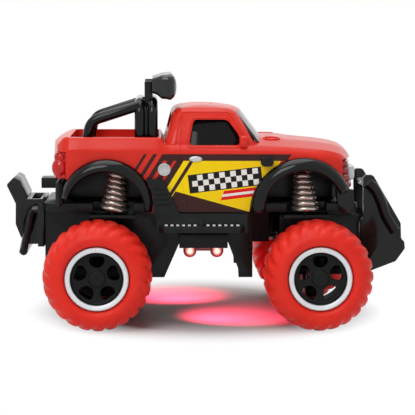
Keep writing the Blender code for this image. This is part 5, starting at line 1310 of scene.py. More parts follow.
class Probe:
    """Finds the outer surface of a mesh, where trim is seated.

    Attributes:
        BESIDE: A distance beyond the mesh's sides.
        OVERHEAD: A height above it.
    """

    BESIDE = 100 * MM
    OVERHEAD = 200 * MM

    def __init__(self, mesh: Mesh) -> None:
        """Index the faces.

        Args:
            mesh: The mesh looked at.
        """
        points = [vertex.co.copy() for vertex in mesh.vertices]
        self.tree = BVHTree.FromPolygons(points, [tuple(face.vertices) for face in mesh.polygons])

    def seat(self, x: float, z: float, side: Side) -> tuple[Vector, Vector]:
        """Point and normal of the side's skin at a place seen from that side.

        Args:
            x: Place along the car.
            z: Height.
            side: The side looked at.

        Returns:
            The point and the outward normal.
        """
        start = Vector((x, side.value * self.BESIDE, z))
        point, normal, _, _ = self.tree.ray_cast(start, Vector((0, -side.value, 0)))
        if normal.y * side.value < 0:
            normal = -normal
        return point, normal

    def above(self, x: float, y: float) -> Vector:
        """Highest point of the surface at a place seen from above."""
        point, _, _, _ = self.tree.ray_cast(Vector((x, y, self.OVERHEAD)), Vector((0, 0, -1)))
        return point

    def back(self, x: float, z: float, side: Side) -> float:
        """Y of the face that looks towards the car's middle."""
        point, _, _, _ = self.tree.ray_cast(Vector((x, 0, z)), Vector((0, side.value, 0)))
        return point.y


class Station(NamedTuple):
    """A section across the body, in millimetres.

    Attributes:
        x: Its place along the car.
        crown: Height at the middle.
        edge: Height at the upper edge.
        belt: Height of the widest line.
        half_edge: Half width at the edge.
        half_belt: Half width at the belt.
        half_sill: Half width at the sill.
        lean: How far it leans forward for each millimetre of height.
        bow: How far its sides run ahead of its middle.
    """

    x: float
    crown: float
    edge: float
    belt: float
    half_edge: float
    half_belt: float
    half_sill: float
    lean: float = 0.0
    bow: float = 0.0


@dataclass
class Shell:
    """Red moulding of bed, cab and hood, skinned finely over the sections of its solid.

    Lengths are in millimetres.

    Attributes:
        shop: Maker of the pieces.
        rear: Sections from the tail to the cab's back.
        front: Sections from there to the nose.
        wall: Thickness of the moulding.
        sill: Height of its foot.
        corners: Radii at belt, edge and crown.
        belt: Height where the cab starts to draw in.
        cab_sink: How far the cab and its hollow reach below the belt.
        room_sink: How far the other hollows reach below the sill.
        roof: Height of the roof.
        crown: Drop below the roof and draw of the roof's edge.
        panes: Lowest and highest line of rear window and windscreen, at the car's middle.
        pane_half: Half widths of the two at foot and head.
        pane_drop: How much lower the foot is at the sides.
        pane_reach: How far a pane's cutter reaches to the front and the rear.
        ends: Boxes cut off at tail, nose and tail lamps.
        end_shares: Shares of the width where an end panel has its rings.
        shoulder: Width of the hood's flat middle, as a share, and its drop there.
    """

    shop: Workshop
    rear: tuple[Station, ...] = (
        Station(-53.8, 62.7, 62.5, 57.3, 24.6, 26.0, 24.5, 0.06, 2.6),
        Station(-51.0, 65.0, 64.9, 59.9, 26.2, 28.2, 26.6, 0.12, 1.6),
        Station(-46.0, 65.1, 65.0, 60.7, 27.3, 29.1, 27.6),
        Station(-38.0, 65.1, 65.0, 60.7, 27.3, 29.1, 27.6),
        Station(-15.9, 65.1, 65.0, 60.7, 27.3, 29.2, 27.7))
    front: tuple[Station, ...] = (
        Station(-14.9, 63.7, 62.7, 60.5, 27.5, 29.2, 27.7),
        Station(19.0, 65.2, 62.1, 59.9, 27.3, 29.2, 27.7),
        Station(30.0, 64.4, 61.6, 59.5, 26.9, 29.0, 27.6),
        Station(40.0, 63.4, 60.7, 58.7, 26.0, 28.4, 27.3),
        Station(46.0, 62.2, 59.5, 57.7, 24.6, 27.2, 26.6, 0.0, -1.2),
        Station(49.6, 60.3, 57.9, 56.3, 22.8, 25.4, 25.4, -0.08, -2.2),
        Station(51.4, 58.2, 56.1, 54.9, 20.6, 23.2, 24.0, -0.12, -2.8))
    wall: float = 1.3
    sill: float = 39.4
    corners: Triple = (3.0, 1.3, 9.0)
    shoulder: Pair = (0.55, 0.28)
    end_shares: tuple[float, ...] = (0.02, 0.3, 0.6, 0.85)
    belt: float = 61.3
    roof: float = 75.8
    cab_x: Pair = (-16.2, 18.6)
    cab_rake: Pair = (5.0, -11.2)
    cab_half: Pair = (27.0, 20.8)
    cab_bow: float = 3.4
    cab_corner: float = 4.2
    cab_sink: Pair = (3.0, 6.0)
    room_sink: float = 2.0
    crown: tuple[Pair, ...] = ((2.6, 0.0), (1.1, 1.2), (0.3, 4.6), (0.0, 7.4))
    bed: Triple = (-47.2, -16.7, 24.6)
    bed_floor: float = 56.9
    bed_corner: float = 2.6
    window: tuple[Pair, ...] = (
        (-6.4, 62.3), (11.2, 62.3), (10.9, 65.7), (6.8, 71.0), (-4.8, 71.0))
    window_corner: float = 1.5
    panes: tuple[Pair, Pair] = ((66.7, 72.2), (65.9, 73.6))
    pane_half: tuple[Pair, Pair] = ((21.6, 17.8), (22.6, 17.8))
    pane_drop: Pair = (0.0, 2.6)
    pane_corner: float = 1.6
    pane_steps: int = 4
    pane_reach: float = 7.4
    arches: tuple[Pair, ...] = ((-35.0, 40.1), (33.0, 40.6))
    arch_radius: float = 14.5
    arch_steps: int = 96
    wide: float = 60.0
    ends: tuple[tuple[Triple, Triple], ...] = (
        ((-80, -60, 0), (-45, 60, 50.7)), ((46.5, -60, 0), (80, 60, 57.5)), ((43, -60, 0), (80, 60, 47.3)),
        ((-62, 22.1, 49.7), (-48.5, 40, 60.1)), ((-62, -40, 49.7), (-48.5, -22.1, 60.1)))
    mirror: Triple = (12.2, 27.0, 63.7)
    mirror_radii: Triple = (1.4, 2.2, 2.0)
    mirror_power: float = 0.5
    cowl: Pair = (22.6, 16.0)
    cowl_radii: Pair = (2.7, 1.9)
    cowl_wire: float = 0.4
    cowl_steps: int = 40

    def section(self, station: Station, inset: float = 0.0, low: float = 0.0, top: float = 0.0,
                share: float = 1.0) -> list[Vector]:
        """Ring of the body at a section.

        Args:
            station: The section.
            inset: How far the ring lies inside it.
            low: Height of the ring's foot, 0 for the sill.
            top: Height that cuts the ring off, 0 for none.
            share: Share of the width, below 1 on the end panels.

        Returns:
            The ring's points in metres.
        """
        x, crown, edge, belt, half_edge, half_belt, half_sill, lean, bow = station
        crown, edge = (top, top) if top else (crown - inset, edge - inset)
        inner, drop = self.shoulder[0] * (half_edge - inset), self.shoulder[1] * (crown - edge)
        side = bent([(half_sill - inset, low or self.sill), (half_belt - inset, min(belt, edge - 0.6)),
                     (half_edge - inset, edge), (inner, crown - drop), (0.0, crown)],
                    self.corners, 6)
        half = [(point.x * share, point.y) for point in side]
        outline = half + [(-y, z) for y, z in reversed(half[:-1])]
        return [Vector((x + lean * (z - belt) + bow * (y / half_belt) ** 2, y, z)) * MM for y, z in outline]

    def lower(self) -> Mesh:
        """Bed, doors and hood as one solid, with bowed end panels.

        Returns:
            The mesh.
        """
        tail, nose = self.rear[0], self.front[-1]
        rings = [self.section(tail, share=share) for share in self.end_shares]
        rings += [self.section(Station(*values)) for values in smooth_line(self.rear, 8)]
        rings += [self.section(Station(*values)) for values in smooth_line(self.front, 10)]
        rings += [self.section(nose, share=share) for share in reversed(self.end_shares)]
        return self.shop.skin("lower_body", rings)

    def cab(self, inset: float, low: float) -> Mesh:
        """Cab with a crowned roof.

        Args:
            inset: How far it is set in.
            low: Height of its foot.

        Returns:
            The mesh.
        """
        rings = []
        edge = smooth_line(self.crown, 5)
        for z, draw in [(low, 0.0)] + [(self.roof - inset - drop, draw) for drop, draw in edge]:
            t = max(0.0, (z - self.belt) / (self.roof - self.belt))
            back = self.cab_x[0] + self.cab_rake[0] * t + inset + draw
            nose = self.cab_x[1] + self.cab_rake[1] * t - inset - draw
            half = self.cab_half[0] + (self.cab_half[1] - self.cab_half[0]) * t - inset - draw
            plan = [(back, -half), (nose, -half), (nose, half), (back, half)]
            outline = rounded(plan, self.cab_corner, 8)
            middle = len(outline) // 2
            outline[middle:middle] = [(nose, 0.1 * step * half) for step in range(-7, 8)]
            bows = [self.cab_bow * (1 - (y / half) ** 2) if 2 * x > back + nose else 0.0
                    for x, y in outline]
            rings.append([Vector((x + bow, y, z)) * MM for (x, y), bow in zip(outline, bows)])
        return self.shop.skin("cab", rings)

    def rooms(self) -> list[Mesh]:
        """Hollows under the bed, under the hood and in the cab.

        Returns:
            Their cutters.
        """
        deep, under = self.sill - self.room_sink, self.bed_floor - self.wall
        tail = self.rear[0]._replace(x=self.rear[0].x + self.wall)
        back = [self.section(s, self.wall, deep, under) for s in (tail, *self.rear[1:], *self.front[:2])]
        start = self.front[0]._replace(x=self.cab_x[0] + self.wall + 1.0)
        ahead = [self.section(s, self.wall, deep) for s in (start, *self.front[1:-1])]
        rooms = [self.shop.skin("room", rings) for rings in (back, ahead)]
        return rooms + [self.cab(self.wall, self.belt - self.cab_sink[1])]

    def openings(self) -> list[Mesh]:
        """Bed, windows, wheel openings, nose, tail and lamp pockets.

        Returns:
            Their cutters.
        """
        skin, wide = self.shop.skin, self.wide
        rear, front, half = self.bed
        plan = rounded([(rear, -half), (front, -half), (front, half), (rear, half)], self.bed_corner, 6)
        heights = (self.bed_floor, self.roof)
        cutters = [skin("bed", [[Vector((x, y, z)) * MM for x, y in plan] for z in heights])]
        profiles = [rounded(self.window, self.window_corner, 6)]
        profiles += [[(x + self.arch_radius * math.cos(turn), z + self.arch_radius * math.sin(turn))
                      for turn in turns(self.arch_steps)] for x, z in self.arches]
        for profile in profiles:
            rings = [[Vector((x, y, z)) * MM for x, z in profile] for y in (-wide, wide)]
            cutters.append(skin("side", rings))
        rise = self.roof - self.belt
        panes = zip(self.cab_x, self.cab_rake, self.panes, self.pane_half, self.pane_drop)
        across = [k / self.pane_steps for k in range(-self.pane_steps, self.pane_steps + 1)]
        for end, rake, (low, high), (foot, head), drop in panes:
            sill = [(foot * u, low - drop * u * u) for u in across]
            outline = rounded(sill + [(head, high), (-head, high)], self.pane_corner, 6)
            rings = [[Vector((end + rake * (z - self.belt) / rise + reach, y, z)) * MM for y, z in outline]
                     for reach in (-self.pane_reach, self.pane_reach)]
            cutters.append(skin("pane", rings))
        cutters += [self.shop.block("end", Vector(low) * MM, Vector(high) * MM) for low, high in self.ends]
        return cutters

    def build(self) -> Mesh:
        """Carve the shell and put on its mirrors and cowl vents.

        Returns:
            The shell's mesh, for trim to be seated on.
        """
        shop = self.shop
        cab = self.cab(0.0, self.belt - self.cab_sink[0])
        shell = shop.carved("shell", self.lower(), [cab], self.rooms() + self.openings())
        probe = Probe(shell)
        extras = []
        for side in Side:
            x, y, z = self.mirror
            extras.append(shop.pebble("mirror", Vector((x, side.value * y, z)) * MM,
                                      Vector(self.mirror_radii) * MM, self.mirror_power))
            path = []
            for turn in turns(self.cowl_steps):
                place = (self.cowl[0] + self.cowl_radii[0] * math.cos(turn),
                         side.value * self.cowl[1] + self.cowl_radii[1] * math.sin(turn))
                path.append(probe.above(place[0] * MM, place[1] * MM))
            extras.append(shop.swept("cowl_vent", path, self.cowl_wire * MM, 10, True))
        shop.piece("body_shell_skin", shop.joined("body_shell_skin", [shell, *extras]),
                   Dressing(Finishes.PAINT, "body_red", 0.0, 32.0), stands_for="body_shell")
        return shell


@dataclass
class Flares:
    """Arch trims with a rolled lip, swept round the wheel openings.

    Attributes:
        shop: Maker of the pieces.
        body: The body with the wheel openings.
        arch: Inner radius of the trims.
        width: Their width at the top.
        depth: How far they stand off the body.
        rear_span: Angles where a rear trim starts and ends, in degrees.
        rear_ends: Widths of its ends.
        margin: Share of the span left off at each end.
        end_share: Share of the span over which an end rises.
        end_depth: Depth of the very end, as a share.
        section: Place across the width and depth of the section's points, as shares.
    """

    shop: Workshop
    body: Shell
    arch: float = 13.3 * MM
    width: float = 4.4 * MM
    depth: float = 3.6 * MM
    rear_span: Pair = (-2.0, 164.0)
    front_span: Pair = (22.0, 184.0)
    rear_ends: Pair = (2.6 * MM, 2.4 * MM)
    front_ends: Pair = (3.8 * MM, 5.4 * MM)
    margin: float = 0.004
    end_share: float = 0.035
    end_depth: float = 0.55
    steps: int = 72
    section: tuple[Pair, ...] = (
        (0.0, 0.0), (0.0, 0.66), (0.02, 0.78), (0.07, 0.9), (0.15, 0.975), (0.26, 1.0), (0.42, 0.965),
        (0.58, 0.89), (0.74, 0.75), (0.88, 0.55), (0.96, 0.37), (1.0, 0.2), (1.0, 0.0))

    def mesh(self, end: End, side: Side) -> Mesh:
        """One trim.

        Args:
            end: The car's end.
            side: The car's side.

        Returns:
            The mesh.
        """
        rear, front = self.body.arches
        centre, span, ends = ((front, self.front_span, self.front_ends) if end is End.FRONT
                              else (rear, self.rear_span, self.rear_ends))
        x, z = (value * MM for value in centre)
        probe = Probe(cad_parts[f"fender_flare_{end.word}_{side.word}"].data)
        rings = []
        for i in range(self.steps + 1):
            t = self.margin + (1 - 2 * self.margin) * i / self.steps
            angle = math.radians(span[0] + (span[1] - span[0]) * t)
            at_end = ends[0] if t < 0.5 else ends[1]
            width = self.width + (at_end - self.width) * (2 * abs(t - 0.5)) ** 2
            middle = self.arch + 0.5 * width
            base = probe.back(x + middle * math.cos(angle), z + middle * math.sin(angle), side)
            full = min(1.0, min(t, 1 - t) / self.end_share)
            rise = self.depth * (self.end_depth + (1 - self.end_depth) * math.sqrt(1 - (1 - full) ** 2))
            rings.append([Vector((x + (self.arch + radial * width) * math.cos(angle),
                                  base + side.value * out * rise,
                                  z + (self.arch + radial * width) * math.sin(angle)))
                          for radial, out in self.section])
        return self.shop.skin("flare", rings)

    def build(self) -> None:
        """Fit the four trims."""
        dressing = Dressing(Finishes.GLOSS, "black_gloss", 0.0, 50.0)
        for end in End:
            for side in Side:
                name = f"fender_flare_{end.word}_{side.word}"
                self.shop.piece(name + "_skin", self.mesh(end, side), dressing, stands_for=name)


@dataclass
class RollBar:
    """Two bed hoops with stays, lamp posts and the lamp pods on them.

    Attributes:
        shop: Maker of the pieces.
        radius: Radius of the tubes.
        hoops: Places of the hoops along the car.
        half: Half the hoops' width.
        top: Height of the hoops' middle line.
        foot: Height of the bed.
        corner: Radius of the bends.
        draw: How far a hoop's sides draw in.
        stay_inset: Distance of the stays from the hoops' feet.
        stay_drop: How far below the hoops' tops they start.
        knee: Place and height of the stays' bend.
        pod_gap: Gap between the hoop's middle and the pods.
        pod_share: Half a pod's width, as a share of the pitch.
        pod_lift: Most that a pod's back is raised.
        lens_share: Width of a lens, as a share of its housing.
        FRAME_POWER: 1 for a round frame, towards 0 for a square one.
    """

    FRAME_STEPS = 48
    FRAME_POWER = 0.42

    shop: Workshop
    radius: float = 1.8 * MM
    hoops: Pair = (-23.3 * MM, -18.9 * MM)
    half: float = 20.6 * MM
    top: float = 76.5 * MM
    foot: float = 57.2 * MM
    corner: float = 5.0 * MM
    draw: float = 0.8 * MM
    stay_inset: float = 1.2 * MM
    stay_drop: float = 0.8 * MM
    web_half: float = 0.6 * MM
    tube_sides: int = 24
    knee: Pair = (-40.2 * MM, 70.2 * MM)
    stay_foot: float = -43.0 * MM
    post_y: float = 15.5 * MM
    post: float = 2.8 * MM
    pod_count: int = 4
    pod_top: float = 86.6 * MM
    pod_height: float = 9.0 * MM
    pod_half_span: float = 23.5 * MM
    pod_depth: float = 6.3 * MM
    pod_gap: float = 0.3 * MM
    pod_share: float = 0.49
    pod_lift: float = 1.2 * MM
    lens_bulge: float = 1.9 * MM
    lens_share: float = 0.93

    def bars(self) -> Mesh:
        """Hoops, stays, webs between the hoops and lamp posts.

        Returns:
            The mesh.
        """
        shop, half = self.shop, self.half
        meshes = []
        for x in self.hoops:
            path = bent([(x, -half, self.foot), (x, -half + self.draw, self.top),
                         (x, half - self.draw, self.top), (x, half, self.foot)], self.corner)
            meshes.append(shop.swept("hoop", path, self.radius, self.tube_sides))
        rear, front = self.hoops
        for side in Side:
            y = side.value * (half - self.stay_inset)
            path = bent([(rear, y, self.top - self.stay_drop), (self.knee[0], y, self.knee[1]),
                         (self.stay_foot, y, self.foot)], self.corner)
            meshes.append(shop.swept("stay", path, self.radius, self.tube_sides))
            meshes.append(shop.block("web", (rear, y - self.web_half, self.foot + 1.2 * MM),
                                     (front, y + self.web_half, self.top - 1.6 * MM)))
            y = side.value * self.post_y
            meshes.append(shop.block("post", (front - self.post, y - self.post / 2, self.top - 0.5 * MM),
                                     (front, y + self.post / 2, self.pod_top - 2.6 * MM)))
            meshes.append(shop.block("bridge", (rear, y - 1.0 * MM, self.top - 1.1 * MM),
                                     (front, y + 1.0 * MM, self.top + 0.9 * MM)))
        return shop.joined("roll_bar_skin", meshes)

    def pods(self) -> Mesh:
        """Lamp housings side by side, each with a bezel and a bulging lens, on a common back.

        Returns:
            The mesh.
        """
        shop = self.shop
        back = self.hoops[1] + self.pod_gap
        front = back + self.pod_depth
        middle = self.pod_top - self.pod_height / 2
        pitch = 2 * self.pod_half_span / self.pod_count
        half_y, half_z = self.pod_share * pitch, self.pod_height / 2
        shape = ((back - 0.4 * MM, 0.6, 0.56, 0.35), (back, 0.68, 0.62, 0.35),
                 (back + 1.2 * MM, 0.76, 0.7, 0.3), (back + 2.9 * MM, 0.92, 0.93, 0.0),
                 (front - 1.3 * MM, 0.96, 0.97, 0.0), (front - 1.2 * MM, 1.0, 1.0, 0.0),
                 (front - 0.1 * MM, 1.0, 1.0, 0.0), (front, 0.98, 0.98, 0.0),
                 (front, 0.95, 0.95, 0.0), (front - 0.15 * MM, 0.94, 0.94, 0.0))
        glass = front - 0.15 * MM
        share = self.lens_share
        dome = tuple((glass + self.lens_bulge * math.cos(a), share * math.sin(a), share * math.sin(a), 0.0)
                     for a in (1.45, 1.2, 0.95, 0.7, 0.45, 0.2, 0.05))
        meshes = []
        for i in range(self.pod_count):
            y = -self.pod_half_span + (i + 0.5) * pitch
            rings = [self._frame(x, y, middle + lift * self.pod_lift, wide * half_y, tall * half_z)
                     for x, wide, tall, lift in shape + dome]
            meshes.append(shop.skin("pod", rings))
        low = middle - 0.5 * MM
        beam = shop.block("beam", (back, -self.pod_half_span + 2.4 * MM, low),
                          (back + 2.2 * MM, self.pod_half_span - 2.4 * MM, low + 3.0 * MM))
        return shop.joined("light_bar_skin", meshes + [beam])

    def _frame(self, x: float, y: float, z: float, half_y: float, half_z: float) -> list[Vector]:
        """A rounded frame across the car.

        Args:
            x: Its place along the car.
            y: Its middle across the car.
            z: Its middle's height.
            half_y: Half its width.
            half_z: Half its height.

        Returns:
            The frame's points.
        """
        ring = []
        for turn in turns(self.FRAME_STEPS):
            cos, sin = math.cos(turn), math.sin(turn)
            ring.append(Vector((x, y + half_y * math.copysign(abs(cos) ** self.FRAME_POWER, cos),
                                z + half_z * math.copysign(abs(sin) ** self.FRAME_POWER, sin))))
        return ring

    def build(self) -> None:
        """Stand the bars and pods on the bed."""
        dressing = Dressing(Finishes.GLOSS, "black_gloss", 0.25 * MM, 38.0)
        self.shop.piece("roll_bar_skin", self.bars(), dressing, stands_for="roll_bar")
        # The pods wear a paler black, a painted sheen for their highlights
        pods = Dressing(Finishes.HOUSING, "black_gloss", 0.0, 38.0)
        self.shop.piece("light_bar_skin", self.pods(), pods, stands_for="light_bar")


@dataclass
class Lenses:
    """Windscreen pane, round tail lamps and the lamp pairs under the sills.

    Attributes:
        shop: Maker of the pieces.
        body: The body with the windscreen's opening.
        pane_gap: Gap beside the pane.
        sunk: How far it lies below the cab's front.
        balls: Middles and radii of a tail lamp's lenses in millimetres.
        pocket: Corners of its base in millimetres.
        under_x: Places of the lamps under a sill.
        under_collar: Height of their straight foot.
        DOME_SHARE: Share of a half turn from a dome's foot to its tip.
    """

    DOME_SHARE = 0.498

    shop: Workshop
    body: Shell
    pane_gap: float = 0.05 * MM
    pane_steps: int = 12
    sunk: float = 0.12 * MM
    thickness: float = 0.9 * MM
    balls: tuple[tuple[Triple, Triple], ...] = (
        ((-50.4, 24.9, 54.6), (3.0, 2.8, 3.4)), ((-50.2, 24.7, 58.2), (2.4, 2.3, 2.0)))
    pocket: tuple[Triple, Triple] = ((-51.6, 22.4, 51.0), (-48.8, 26.6, 59.8))
    under_x: Pair = (-5.9 * MM, 3.5 * MM)
    under_y: float = 19.5 * MM
    under_top: float = 26.0 * MM
    under_collar: float = 0.9 * MM
    under_radius: float = 2.3 * MM
    dome_steps: int = 12
    dome_sides: int = 40
    strip_half: float = 1.0 * MM
    strip_depth: float = 0.8 * MM

    def windscreen(self) -> None:
        """A bowed pane, flush with the cab's front."""
        body, count = self.body, self.pane_steps
        low, high = (height * MM for height in body.panes[1])
        foot_half, head_half = (half * MM - self.pane_gap for half in body.pane_half[1])
        drop = body.pane_drop[1] * MM
        base = low - drop
        rings = []
        for row in range(count + 1):
            outer = []
            for column in range(-count, count + 1):
                foot = low - drop * (column / count) ** 2
                z = foot + (high - foot) * row / count
                y = (foot_half + (head_half - foot_half) * (z - base) / (high - base)) * column / count
                rise = (z / MM - body.belt) / (body.roof - body.belt)
                cab = (body.cab_half[0] + (body.cab_half[1] - body.cab_half[0]) * rise) * MM
                edge = (body.cab_x[1] + body.cab_rake[1] * rise) * MM - self.sunk
                outer.append(Vector((edge + body.cab_bow * MM * (1 - (y / cab) ** 2), y, z)))
            rings.append(outer + [point - Vector((self.thickness, 0, 0)) for point in reversed(outer)])
        mesh = self.shop.skin("windscreen", rings)
        self.shop.piece("windscreen", mesh,
                        Dressing(Finishes.SCREEN, "dark_glazing", 0.0, 40.0))

    def tail_lamp(self, side: Side) -> None:
        """Two round lenses, one above the other, on a base in the body's corner.

        Args:
            side: The car's side.
        """
        flip = Matrix.Diagonal((1, side.value, 1, 1))
        meshes = [self.shop.block("base", *((Vector(corner) * MM) for corner in self.pocket))]
        for middle, radii in self.balls:
            meshes.append(self.shop.pebble("ball", Vector(middle) * MM, Vector(radii) * MM, 1.0))
        mesh = self.shop.joined("tail_lamp_lens", meshes)
        mesh.transform(flip)
        if side is Side.RIGHT:
            mesh.flip_normals()
        name = f"tail_lamp_{side.word}"
        self.shop.piece(f"{name}_lens", mesh,
                        Dressing(Finishes.LAMP_RED, "lamp_red", 0.0, 40.0), stands_for=name)

    def under_lamp(self, side: Side) -> None:
        """Two domes on one strip under a sill.

        Args:
            side: The car's side.
        """
        y, top, radius = side.value * self.under_y, self.under_top, self.under_radius
        collar = top - self.under_collar
        heights = [(radius, top)]
        heights += [(radius * math.cos(tilt), collar - radius * math.sin(tilt))
                    for tilt in (self.DOME_SHARE * math.pi * k / self.dome_steps
                                 for k in range(self.dome_steps + 1))]
        meshes = [self.shop.block("strip", (self.under_x[0], y - self.strip_half, top - self.strip_depth),
                                  (self.under_x[1], y + self.strip_half, top))]
        for x in self.under_x:
            rings = [[Vector((x + wide * math.cos(turn), y + wide * math.sin(turn), z))
                      for turn in turns(self.dome_sides)] for wide, z in reversed(heights)]
            meshes.append(self.shop.skin("dome", rings))
        name = f"underglow_lamp_{side.word}"
        self.shop.piece(f"{name}_lens", self.shop.joined("under_lamp_lens", meshes),
                        Dressing(Finishes.GLOW, "lamp_red", 0.0, 40.0), stands_for=name)

    def build(self) -> None:
        """Fit the pane and the lamps."""
        self.windscreen()
        for side in Side:
            self.tail_lamp(side)
            self.under_lamp(side)


@dataclass
class NoseTrim:
    """Raised ribs on the sides of the front bumper, and brackets behind the flares' front ends.

    Attributes:
        shop: Maker of the pieces.
        radius: Radius of a rib.
        line: Its line as X and Z in millimetres.
        reach: Distance of its middle line from the car's middle.
        bracket: Outline of a bracket as X and Z in millimetres.
        bracket_y: Its inner and outer face.
    """

    shop: Workshop
    radius: float = 1.9 * MM
    line: tuple[Pair, ...] = (
        (56.4, 48.6), (58.8, 46.6), (61.0, 42.4), (63.0, 36.9), (66.2, 31.6))
    reach: float = 16.6 * MM
    bracket: tuple[Pair, ...] = (
        (44.6, 47.0), (50.6, 47.0), (50.9, 41.5), (49.0, 38.4), (46.2, 38.8), (44.9, 42.5))
    bracket_y: Pair = (20.6 * MM, 25.0 * MM)

    def build(self) -> None:
        """Fit a rib and a bracket on each side."""
        for side in Side:
            path = [Vector((x * MM, side.value * self.reach, z * MM))
                    for x, z in smooth_line(self.line, 10)]
            mesh = self.shop.swept("bumper_rib", path, self.radius, 20)
            self.shop.piece(f"bumper_rib_{side.word}", mesh,
                            Dressing(Finishes.GLOSS, "black_gloss", 0.0, 60.0))
            faces = sorted(side.value * y for y in self.bracket_y)
            rings = [[Vector((x * MM, y, z * MM)) for x, z in self.bracket] for y in faces]
            self.shop.piece(f"nose_bracket_{side.word}", self.shop.skin("nose_bracket", rings),
                            Dressing(Finishes.BUMPER, "black_plastic", 0.5 * MM))


@dataclass
class SideTrim:
    """Fuel caps, door handles, window frames, drip rails, seams, and white tread dashes that are painted
    highlights.

    Attributes:
        shop: Maker of the pieces.
        skin: The body's surface.
    """

    shop: Workshop
    skin: Probe
    cap_place: Pair = (-14.9 * MM, 54.2 * MM)
    cap_radius: float = 2.2 * MM
    handle_place: Pair = (-4.2 * MM, 57.8 * MM)
    handle_half: Pair = (2.25 * MM, 1.0 * MM)
    proud: float = 0.6 * MM
    frame_radius: float = 0.3 * MM
    seam_radius: float = 0.16 * MM
    window: tuple[Pair, ...] = (
        (-7.0, 61.7), (11.8, 61.7), (11.5, 65.9), (7.0, 71.6), (-5.3, 71.6))
    rail: tuple[Pair, ...] = ((-11.2, 62.6), (-8.9, 73.5), (7.2, 73.5), (13.4, 64.6))
    seam: tuple[Pair, ...] = ((-8.6, 72.2), (-9.6, 60.0), (-9.6, 52.0), (-6.4, 40.2))
    tread_ends: Pair = (-15.2 * MM, 11.2 * MM)
    tread_middle: float = -2.2 * MM
    tread_margin: float = 1.2 * MM
    tread_count: int = 6
    tread_reach: float = 31.9 * MM
    tread_top: float = 35.6 * MM
    dash_depth: float = 0.8 * MM
    dash_height: float = 0.62 * MM
    dash_share: float = 0.5
    cap_sides: int = 48
    handle_sides: int = 36
    line_corner: float = 1.4 * MM
    line_step: float = 0.8 * MM
    line_sides: int = 8

    @staticmethod
    def _lay(point: Vector, normal: Vector) -> Matrix:
        """Place a flat piece whose own up is +Y on a skin, with its X along the car.

        Args:
            point: Point of the skin.
            normal: The skin's normal there.

        Returns:
            The piece's place.
        """
        along = (Vector((1, 0, 0)) - normal * normal.x).normalized()
        turn = Matrix((along, normal, along.cross(normal))).transposed().to_4x4()
        return Matrix.Translation(point) @ turn

    def cap(self, side: Side) -> None:
        """A round fuel cap with raised rings.

        Args:
            side: The car's side.
        """
        r, high = self.cap_radius, self.proud
        profile = ((0.02 * MM, -0.6 * MM), (r, -0.6 * MM), (r, 0.6 * high), (r - 0.15 * MM, high),
                   (r - 0.4 * MM, high), (r - 0.5 * MM, 0.25 * high), (0.62 * r, 0.2 * high),
                   (0.58 * r, 0.8 * high), (0.4 * r, 0.85 * high), (0.36 * r, 0.3 * high),
                   (0.24 * r, 0.3 * high), (0.2 * r, 0.8 * high), (0.02 * MM, 0.9 * high))
        mesh = self.shop.turned("fuel_cap", profile, self.cap_sides)
        matrix = self._lay(*self.skin.seat(*self.cap_place, side))
        self.shop.piece(f"fuel_cap_{side.word}", mesh,
                        Dressing(Finishes.SILVER, "chrome", 0.05 * MM), matrix)

    def handle(self, side: Side) -> None:
        """An oval door handle, domed.

        Args:
            side: The car's side.
        """
        half_x, half_z = self.handle_half
        rings = []
        for share, rise in ((1.0, -0.5), (1.0, 0.25), (0.93, 0.62), (0.75, 0.86), (0.45, 0.97), (0.1, 1.0)):
            rings.append([Vector((share * half_x * math.cos(turn), rise * self.proud,
                                  share * half_z * math.sin(turn))) for turn in turns(self.handle_sides)])
        mesh = self.shop.skin("door_handle", rings)
        matrix = self._lay(*self.skin.seat(*self.handle_place, side))
        self.shop.piece(f"door_handle_{side.word}", mesh,
                        Dressing(Finishes.SILVER, "chrome", 0.0, 50.0), matrix)

    def line(self, name: str, corners: Sequence[Pair], radius: float, side: Side,
             closed: bool = False) -> None:
        """A raised line on the body's side.

        Args:
            name: Name of the piece.
            corners: Corners of the line as X and Z in millimetres.
            radius: Radius of the line.
            side: The car's side.
            closed: Whether the line ends where it starts.
        """
        flat = [Vector((x * MM, 0, z * MM)) for x, z in corners]
        if closed:
            flat = [(flat[-1] + flat[0]) / 2, *flat, (flat[-1] + flat[0]) / 2]
        route = []
        rounded_path = bent(flat, self.line_corner)
        for here, there in zip(rounded_path, rounded_path[1:]):
            count = max(1, round((there - here).length / self.line_step))
            route += [here.lerp(there, i / count) for i in range(count)]
        if not closed:
            route.append(rounded_path[-1])
        path = [self.skin.seat(point.x, point.z, side)[0] for point in route]
        mesh = self.shop.swept(name, path, radius, self.line_sides, closed)
        self.shop.piece(f"{name}_{side.word}", mesh,
                        Dressing(Finishes.PAINT, "body_red", 0.0, 60.0))

    def dashes(self, side: Side) -> None:
        """White dashes on the running board's tread ribs: painted highlights that stand for glints on the
        ribs.

        Args:
            side: The car's side.
        """
        start, end = self.tread_ends
        meshes = []
        for low, high in ((start, self.tread_middle - self.tread_margin),
                          (self.tread_middle + self.tread_margin, end)):
            pitch = (high - low) / self.tread_count
            for i in range(self.tread_count):
                x = low + (i + (1 - self.dash_share) / 2) * pitch
                near, far = sorted((side.value * (self.tread_reach - self.dash_depth),
                                    side.value * self.tread_reach))
                meshes.append(self.shop.block("dash", (x, near, self.tread_top - self.dash_height),
                                              (x + self.dash_share * pitch, far, self.tread_top)))
        mesh = self.shop.joined("tread_dashes", meshes)
        # The white dashes are painted highlights on the tread ribs
        self.shop.piece(f"tread_dashes_{side.word}", mesh,
                        Dressing(Finishes.DASH, "lamp_clear", 0.1 * MM))

    def build(self) -> None:
        """Seat the trim on both sides."""
        for side in Side:
            self.cap(side)
            self.handle(side)
            self.line("window_frame", self.window, self.frame_radius, side, closed=True)
            self.line("drip_rail", self.rail, self.frame_radius, side)
            self.line("door_seam", self.seam, self.seam_radius, side)
            self.dashes(side)


class SoftBox(NamedTuple):
    """A white lamp: its name, its place, its width and height, and its power in watts."""

    name: str
    place: Triple
    size: Pair
    power: float


